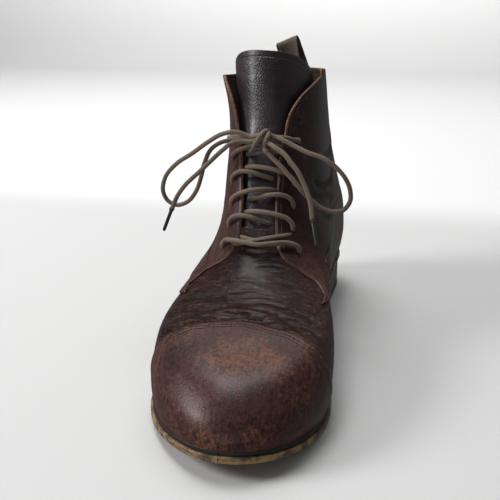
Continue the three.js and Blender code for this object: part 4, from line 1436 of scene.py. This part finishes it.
class BOOT_OT_back_panel(bpy.types.Operator):
    """Back panel over both quarters, around the heel"""

    bl_idname = "boot.back_panel"
    bl_label = "Back panel"

    def execute(self, context):
        medial, lateral = back_paths(1), back_paths(-1)
        rows = medial[0]
        first = medial[1]
        last = 2 * np.pi + np.interp(rows, *lateral)
        across = np.linspace(0, 1, 230)
        turn = first[:, None] + (last - first)[:, None] * across
        row = np.broadcast_to(rows[:, None], turn.shape)
        flat = skin(row, turn)
        edge = np.minimum(distance_to(flat, flat[:, 0]), distance_to(flat, flat[:, -1]))
        edge = np.minimum(edge, distance_to(flat, flat[-1]))
        step = QUARTER_STEP + BACK_STEP - 0.25 * np.exp(-edge)
        outer, folds = leather_skin(row, turn, step)
        inner, _ = leather_skin(row, turn, 0 * step + QUARTER_STEP - 0.6)
        marks = leather_marks(flat, folds, edge, 0.3 * np.clip((flat[..., 2] - 140) / 12, 0, 1))
        panel = sheet_mesh("Back_panel", outer, inner, finish_for("upper"), bulge=0.3, marks=marks)
        settle(panel, "upper_leather")
        return {"FINISHED"}


def tongue_spread(row):
    """Half of the tongue's width, as an angle."""
    return np.radians(smooth(TONGUE_SPREAD[:, 0], TONGUE_SPREAD[:, 1], row))


def tongue_depth(row):
    """How far the tongue's outside lies under the upper's outside."""
    return WALL + CLEAR + smooth(TONGUE_SPREAD[:, 0], TONGUE_SPREAD[:, 2], row)


def tongue_top(share):
    """Row of the tongue's top edge across its width: the row at which the surface is as high as the middle's
    top, less a fall that grows as a power of the distance from the middle."""
    falls = {side: size * np.abs(share) ** power for side, (size, power) in TONGUE_FALL.items()}
    fall = np.where(share > 0, falls["medial"], falls["lateral"])
    rows = np.linspace(8, 9.9, 40)[:, None]
    height = skin(rows, tongue_spread(rows) * share)[..., 2]
    target = skin(TONGUE["top"], 0.0)[2] - fall
    return np.array([np.interp(h, column, rows[:, 0]) for h, column in zip(target, height.T)])


class BOOT_OT_tongue(bpy.types.Operator):
    """Tongue: stands up behind the lacing, wider towards its rounded top"""

    bl_idname = "boot.tongue"
    bl_label = "Tongue"

    def execute(self, context):
        share = np.linspace(*TONGUE_SHARES, 142)
        rise = np.linspace(0, 1, 150)[:, None]
        row = TONGUE["from"] + (tongue_top(share) - TONGUE["from"]) * rise
        inset, turn = tongue_depth(row), tongue_spread(row) * share
        flat = skin(row, turn)
        folds = 0.5 * np.exp(-(((share + 0.35) / 0.16) ** 2)) - 0.5 * np.exp(-(((share - 0.1) / 0.2) ** 2))
        relief = folds * np.sin(np.pi * rise) + 0.6 * unevenness(flat)
        outer = skin(row, turn, relief - inset)
        inner = skin(row, turn, relief - inset - TONGUE_WALL + 0.4)
        edge = distance_to(flat, np.concatenate([flat[-1], flat[60:, 0], flat[60:, -1]]))
        tongue = sheet_mesh("Tongue", outer, inner, finish_for("tongue"), marks={"edge": edge})
        settle(tongue, "tongue_leather", "tongue")
        return {"FINISHED"}


class BOOT_OT_pull_tab(bpy.types.Operator):
    """Strap folded over the collar at the back, its legs on both sides of the wall"""

    bl_idname = "boot.pull_tab"
    bl_label = "Pull tab"

    def execute(self, context):
        outer = QUARTER_STEP + BACK_STEP + CLEAR + TAB["slack"]
        inner = WALL + CLEAR + TAB["slack"]
        middle, half = (outer - inner) / 2, (outer + inner) / 2
        row_height = skin(TOP, np.pi)[2] - skin(TOP - 1, np.pi)[2]
        bend = np.linalg.norm(skin(TOP, np.pi) - skin(TOP, np.pi * 0.9)) / (np.pi * 0.1)
        tilt = math.radians(TAB["tilt"] - 5)
        leg = np.linspace(-TAB["leg"], 0, 16)
        arch = np.linspace(0, np.pi, 19)
        grids = []
        for wall in (TAB_WALL, 0.0):
            side = half + wall
            fold = TAB["rise"] - half
            reach = np.concatenate([np.full(16, side), side * np.cos(arch), np.full(16, -side)])
            along = np.concatenate([leg, fold + side * np.sin(arch), leg[::-1]])
            across = np.linspace(-0.5, 0.5, 12)[None] * TAB_WIDTH
            shift = across * math.cos(tilt) - along[:, None] * math.sin(tilt) + TAB["shift"]
            height = across * math.sin(tilt) + along[:, None] * math.cos(tilt)
            row = TOP + np.minimum(0, height / row_height)
            pinch = 1 - 0.38 * np.clip(along / fold, 0, 1)
            grow = middle + np.broadcast_to((reach * pinch)[:, None], row.shape)
            point = skin(row, np.pi - shift / bend, grow)
            point[..., 2] += np.maximum(0, height)
            grids.append(point[::-1])
        nearest = np.minimum(np.arange(12), np.arange(12)[::-1]) * TAB_WIDTH / 11
        edge = np.broadcast_to(nearest, grids[0].shape[:2])
        tab = sheet_mesh("Pull_tab", *grids, finish_for("tab"), bulge=0.3, marks={"edge": edge})
        settle(tab, "tab_leather", "pull_tab")
        return {"FINISHED"}


# Shares of the way to the other side's eyelet and to the next row up, and the lift off the leather
OVER = ((0, 0, 0.2), (0.04, 0.18, 3.0), (0.11, 0.4, 4.0), (0.24, 0.62, 4.2), (0.42, 0.82, 3.2))
OVER_END = ((0.58, 0.9, 1.6), (0.7, 0.92, -0.6), (0.78, 0.9, -2.6))
UNDER = ((0, 0, 0.2), (0.04, 0.18, 3.0), (0.1, 0.38, 4.0), (0.22, 0.56, 4.0), (0.36, 0.62, 2.0))
UNDER_END = ((0.5, 0.6, -0.6), (0.62, 0.56, -2.2), (0.7, 0.52, -3.2))


class BOOT_OT_lacing(bpy.types.Operator):
    """Lace through the eyelets: a bar at the bottom, then crossings up to the knot"""

    bl_idname = "boot.lacing"
    bl_label = "Lacing"

    def strand(self, side, i, over):
        """Comes out of its eyelet, arches over its facing and dives under the other one's edge."""
        x = facing_edge(side, EYELETS[i]) + side * eyelet_inset(side, i)
        other = facing_edge(-side, EYELETS[i + 1]) - side * EYELET_INSET
        shares = np.array((OVER + OVER_END) if over else (UNDER + UNDER_END))
        along, up, lift = shares.T
        row, angle = seen_from_front(x + (other - x) * along, EYELETS[i] + (EYELETS[i + 1] - EYELETS[i]) * up)
        points = skin(row, angle, lift)
        row, angle = seen_from_front(x, EYELETS[i])
        return along_points(np.concatenate([[skin(row, angle, LACE_DEPTH)], points]), pitch=CORD_STEP)

    def execute(self, context):
        cord, radius = finish_for("cord"), LACE / 2 + BRAID
        left = facing_edge(-1, EYELETS[0]) - eyelet_inset(-1, 0)
        right = facing_edge(1, EYELETS[0]) + eyelet_inset(1, 0)
        share = np.array([0, 0.01, 0.06, 0.16, 0.32, 0.5, 0.68, 0.84, 0.94, 0.99, 1])
        lift = np.array([0.2, 2.4, 3.7, 3.9, 4.4, 4.6, 4.4, 3.9, 3.6, 2.4, 0.2])
        hump = np.array([-0.4, 0.2, 2.4, 3.5, 3.4, 2.6, 3.2, 3.0, 1.4, 0.1, -0.4])
        row, angle = seen_from_front(left + (right - left) * share, EYELETS[0] + hump)
        points = skin(row, angle, lift)
        ends = [skin(*seen_from_front(x, EYELETS[0]), LACE_DEPTH) for x in (left, right)]
        path = along_points(np.concatenate([ends[:1], points, ends[1:]]), pitch=CORD_STEP)
        settle(tubes_mesh("Lace_bar", [path], radius, cord), "lace_cord", "lace_bar")
        low = []
        for side in (-1, 1):
            share = np.array([0.1, 0.24, 0.4, 0.6, 0.76, 0.9])
            lift = np.array([-1.6, -0.4, 0.6, 1.0, 0.0, -1.8]) + (1.4 if side < 0 else -1.0)
            up = np.array([0.3, 0.4, 0.52, 0.66, 0.76, 0.82]) * (EYELETS[1] - EYELETS[0])
            first, last = (left, right) if side < 0 else (right, left)
            row, angle = seen_from_front(first + (last - first) * share, EYELETS[0] + up)
            low.append(along_points(skin(row, angle, lift), pitch=CORD_STEP))
        settle(tubes_mesh("Lace_low_cross", low, radius, cord), "lace_cord", "lace_low_cross")
        for i in range(1, LACED - 1):
            over = 1 if i % 2 else -1
            paths = [self.strand(side, i, side == over) for side in (-1, 1)]
            settle(tubes_mesh(f"Lace_row_{i}", paths, radius, cord), "lace_cord", f"lace_cross_{i}")
        for side, name in ((-1, "lateral"), (1, "medial")):
            z = EYELETS[LACED - 1]
            x = facing_edge(side, z) + side * eyelet_inset(side, LACED - 1)
            row, angle = seen_from_front(x, z)
            edge = facing_edge(side, z)
            half = seen_from_front(x + (edge - x) * 0.5, z + 0.6)
            over = seen_from_front(edge, z + (KNOT[2] - z) * 0.5)
            start = [skin(row, angle, lift) for lift in (LACE_DEPTH, 0.2)]
            bend = skin(*seen_from_front(x - side * 1.2, z + 0.5), 3.2)
            end = KNOT + [side * 2.2, 4.2, 0.5]
            points = [*start, bend, skin(*half, 4.0), skin(*over, 4.0), end]
            path = along_points(points, pitch=CORD_STEP)
            thing = tubes_mesh("Lace_to_knot_" + name, [path], radius, cord)
            settle(thing, "lace_cord", "lace_to_knot_" + name)
        return {"FINISHED"}


class BOOT_OT_bow(bpy.types.Operator):
    """Bow: two loops and two tipped ends, held by a knot that wraps around them"""

    bl_idname = "boot.bow"
    bl_label = "Bow"

    def execute(self, context):
        cord, radius = finish_for("cord"), LACE / 2 + BRAID
        ends = {"lateral": (LATERAL_END, LATERAL_TIP), "medial": (MEDIAL_END, MEDIAL_TIP)}
        for name, (route, tip) in ends.items():
            direction = unit(np.array(tip, float))
            start = np.array(route[-1]) + direction * 2 * CLEAR
            reach = np.array([-1.4, -0.6, 0, 0.6, AGLET - 1.2, AGLET - 0.3, AGLET])
            fat = np.array([1.28, 1.05, 0.86, 0.8, 0.78, 0.62, 0.3]) * radius
            path = start + direction * reach[:, None]
            aglet = tubes_mesh("Aglet_" + name, [path], fat, finish_for("tip"))
            settle(aglet, "aglet_plastic", "aglet_" + name)
            path = along_points(route, pitch=BOW_STEP)
            thing = tubes_mesh("Lace_end_" + name, [path], radius, cord)
            settle(thing, "lace_cord", "lace_end_" + name)
            self.declare(thing, path, "fitting", [aglet])
        for name, route in (("lateral", LATERAL_LOOP), ("medial", MEDIAL_LOOP)):
            path = along_points(route, pitch=BOW_STEP)
            thing = tubes_mesh("Lace_loop_" + name, [path], radius, cord)
            settle(thing, "lace_cord", "lace_loop_" + name)
            self.declare(thing, path, "knot", [])
        through = [
            (LATERAL_LOOP[1], LATERAL_LOOP[0], KNOT + [0, -1.6, 2.2], MEDIAL_LOOP[0], MEDIAL_LOOP[1]),
            (LATERAL_LOOP[-2], LATERAL_LOOP[-1], KNOT + [0, 1.2, -1.6], MEDIAL_LOOP[-1], MEDIAL_LOOP[-2]),
            (LATERAL_END[1], LATERAL_END[0], KNOT + [0, -2.6, -0.6], MEDIAL_END[0], MEDIAL_END[1]),
        ]
        paths = []
        for points in through:
            path = along_points(points, count=60)
            inner = (path[:, 0] > points[1][0] - 0.6) & (path[:, 0] < points[3][0] + 0.6)
            paths.append(path[inner])
        turn = np.radians([-150, -95, -50, -5, 40, 85, 140, 200, 250])
        shift = np.array([-3.4, -4.4, -3.2, -0.9, 1.4, 3.2, 3.4, 1.4, -0.8])
        wrap = KNOT + np.stack([shift, -1.4 - 4.7 * np.cos(turn), 0.2 + 4.9 * np.sin(turn)], -1)
        paths.append(along_points(wrap, pitch=CORD_STEP))
        turn = np.radians([-110, -60, 0, 50, 110, 160])
        shift = np.array([1.6, 2.6, 4.0, 5.0, 4.4, 3.0])
        wrap = KNOT + np.stack([shift, -1.2 - 4.1 * np.cos(turn), -0.4 + 4.0 * np.sin(turn)], -1)
        paths.append(along_points(wrap, pitch=CORD_STEP))
        knot = tubes_mesh("Lace_knot", paths, radius + 0.15, cord)
        settle(knot, "lace_cord", "lace_knot")
        return {"FINISHED"}

    def declare(self, thing, path, far_end, on_it):
        """Turns the cord's path into metres and drops it: nothing is declared."""
        tuple(path[0] * MM)
        [tuple(p) for p in path * MM]


class BOOT_OT_stitches(bpy.types.Operator):
    """Stitch rows beside the cut edges"""

    bl_idname = "boot.stitches"
    bl_label = "Stitches"

    def row(self, path, inset, grow, part=(0.0, 1.0), creases=1.0):
        """Places and outward directions at a distance from a path, over a part of its length."""
        row, angle = aside(*path, inset)
        keep = (row > 0.25) & (row < 8.85)
        row, angle = row[keep], angle[keep]
        first, last = int(part[0] * len(row)), int(part[1] * len(row))
        row, angle = row[first:last], angle[first:last]
        flat = skin(row, angle)
        folds = crease_height(flat) * bpy.context.scene.boot_leather.crease * creases
        return skin(row, angle, grow + folds + unevenness(flat)), outward(row, angle)

    def execute(self, context):
        thread = finish_for("thread")
        cap = cap_edge_path(260)
        rows = [self.row(cap, -inset, CAP_STEP, creases=CAP_CREASES) for inset in SEAMS]
        settle(stitch_mesh("Stitches_toe_cap", rows, thread), "upper_leather")
        rows = []
        for side in (-1, 1):
            part = (0.12 if side < 0 else 0.3, 1.0)
            rows.append(self.row(quarter_paths(side), -side * SEAMS[0], QUARTER_STEP, part))
            for inset in (2.2, 4.6, 7.0):
                grow = QUARTER_STEP + BACK_STEP
                rows.append(self.row(back_paths(side), -side * inset, grow, (0.12, 1.0)))
        rows.append(self.row(quarter_paths(-1), SEAMS[1], QUARTER_STEP, (0.12, 0.42)))
        settle(stitch_mesh("Stitches_quarters", rows, thread), "upper_leather")
        share = np.linspace(TONGUE_SHARES[0] + 0.07, TONGUE_SHARES[1] - 0.04, 140)
        rows = []
        for inset in (0.17, 0.3):
            row = tongue_top(share) - inset
            turn = tongue_spread(row) * share
            relief = 0.6 * unevenness(skin(row, turn))
            rows.append((skin(row, turn, relief - tongue_depth(row)), outward(row, turn)))
        settle(stitch_mesh("Stitches_tongue", rows, thread), "tongue_leather")
        return {"FINISHED"}


# Lights: name, place and target in metres, size in metres and power in watts
LIGHTS = (
    ("Key", (-1.45, -0.6, 1.0), (0, -0.05, 0.06), 0.7, 33),
    ("Front left", (-0.35, -1.6, 0.14), (0, -0.1, 0.04), 0.3, 3.2),
    ("Front right", (0.45, -1.6, 0.14), (0, -0.1, 0.04), 0.18, 1.6),
    ("Top", (-0.35, 0.3, 1.9), (0, 0.0, 0.05), 0.8, 22),
    ("Wall", (-0.4, 1.3, 2.2), (-0.4, 2.9, 0.1), 2.4, 58),
)
# Shares of the floor colour in front of the boot and further back: painted light and shade, darker in front,
# paler behind, and the full colour up the sweep
NEAR_TONE, FAR_TONE = 0.52, 0.68
SKY_TONE, SKY_STRENGTH = (0.98, 0.99, 1.0), 0.17
CAMERA_PLACE, CAMERA_AIM = (0.087, -0.4163, 0.196), (-0.2225, 0.9265, -0.3040)


class BOOT_OT_stage(bpy.types.Operator):
    """Pale floor that sweeps up behind, soft lights and the camera"""

    bl_idname = "boot.stage"
    bl_label = "Stage"

    def hang(self, name, data, place, away):
        """A light or camera at a place, turned along a direction."""
        thing = bpy.data.objects.new(name, data)
        thing.location = place
        thing.rotation_euler = self.turned(away)
        bpy.context.scene.collection.objects.link(thing)
        return thing

    def light(self, name, place, target, size, power):
        """A round soft light that points at a target."""
        lamp = bpy.data.lights.new(name, "AREA")
        lamp.shape, lamp.size, lamp.energy = "DISK", size, power
        self.hang(name, lamp, place, np.array(target) - np.array(place))

    def turned(self, away):
        """Euler angles that turn -Z along a direction, with Y up."""
        x, y, z = unit(np.asarray(away, float))
        return (math.acos(np.clip(-z, -1, 1)), 0.0, math.atan2(-x, y))

    def execute(self, context):
        stage = context.scene.boot_stage
        along = np.linspace(0, 1, 60)
        bend = np.clip((along - 0.5) / 0.3, 0, 1) * np.pi / 2
        y = np.interp(along, [0, 0.5], [-6000, 2200]) + 900 * np.sin(bend)
        z = 900 * (1 - np.cos(bend)) + np.clip(along - 0.8, 0, 1) * 16000
        x = np.linspace(-7000, 7000, 12)
        grid = np.stack(np.broadcast_arrays(x[None], y[:, None], z[:, None]), -1)
        paint = Paint("pale floor")
        _, back, rise = paint.axes(paint.place())
        tone = tuple(stage.floor)
        # Painted light and shade on the floor: darker in front, paler behind, the full colour up the sweep
        shade = paint.mix(back.ramp(0.27, 0.4), times(tone, NEAR_TONE), times(tone, FAR_TONE))
        shade = paint.mix(rise.ramp(0.0, 0.5), shade, tone)
        pale = paint.finish(base_color=shade, roughness=0.6)
        floor = put_mesh("Floor", grid.reshape(-1, 3), grid_faces(60, 12), pale)
        floor.visible_glossy = False
        world = context.scene.world or bpy.data.worlds.new("Studio")
        context.scene.world = world
        world.use_nodes = True
        sky = world.node_tree.nodes["Background"]
        sky.inputs["Color"].default_value = (*SKY_TONE, 1.0)
        sky.inputs["Strength"].default_value = SKY_STRENGTH
        for light in LIGHTS:
            self.light(*light)
        lens = bpy.data.cameras.new("Camera")
        lens.lens, lens.sensor_width, lens.clip_start = stage.lens, 36.0, 0.01
        context.scene.camera = self.hang("Camera", lens, CAMERA_PLACE, CAMERA_AIM)
        context.scene.view_settings.view_transform = "Standard"
        return {"FINISHED"}


PIECES = (
    BOOT_OT_stage,
    BOOT_OT_bow,
    BOOT_OT_lacing,
    BOOT_OT_sole,
    BOOT_OT_vamp,
    BOOT_OT_toe_cap,
    BOOT_OT_quarters,
    BOOT_OT_back_panel,
    BOOT_OT_tongue,
    BOOT_OT_pull_tab,
    BOOT_OT_stitches,
)


class BOOT_PT_panel(bpy.types.Panel):
    """Lists the boot's sizes, colours and pieces"""

    bl_idname = "BOOT_PT_panel"
    bl_label = "Boot"
    bl_space_type = "VIEW_3D"
    bl_region_type = "UI"
    bl_category = "Boot"

    def draw(self, context):
        scene = context.scene
        for group in (scene.boot_leather, scene.boot_lace, scene.boot_sole, scene.boot_stage):
            box = self.layout.box()
            for key in group.__annotations__:
                box.prop(group, key)
        for operator in PIECES:
            self.layout.operator(operator.bl_idname)


GROUPS = {
    "boot_leather": BootLeather,
    "boot_lace": BootLace,
    "boot_sole": BootSole,
    "boot_stage": BootStage,
}


def register():
    for key, group in GROUPS.items():
        bpy.utils.register_class(group)
        setattr(bpy.types.Scene, key, bpy.props.PointerProperty(type=group))
    for operator in PIECES:
        bpy.utils.register_class(operator)
    bpy.utils.register_class(BOOT_PT_panel)


def unregister():
    bpy.utils.unregister_class(BOOT_PT_panel)
    for operator in PIECES:
        bpy.utils.unregister_class(operator)
    for key, group in GROUPS.items():
        delattr(bpy.types.Scene, key)
        bpy.utils.unregister_class(group)


def main():
    """Makes every piece in order."""
    register()
    for operator in PIECES:
        group, name = operator.bl_idname.split(".")
        getattr(getattr(bpy.ops, group), name)()


if __name__ == "__main__":
    main()
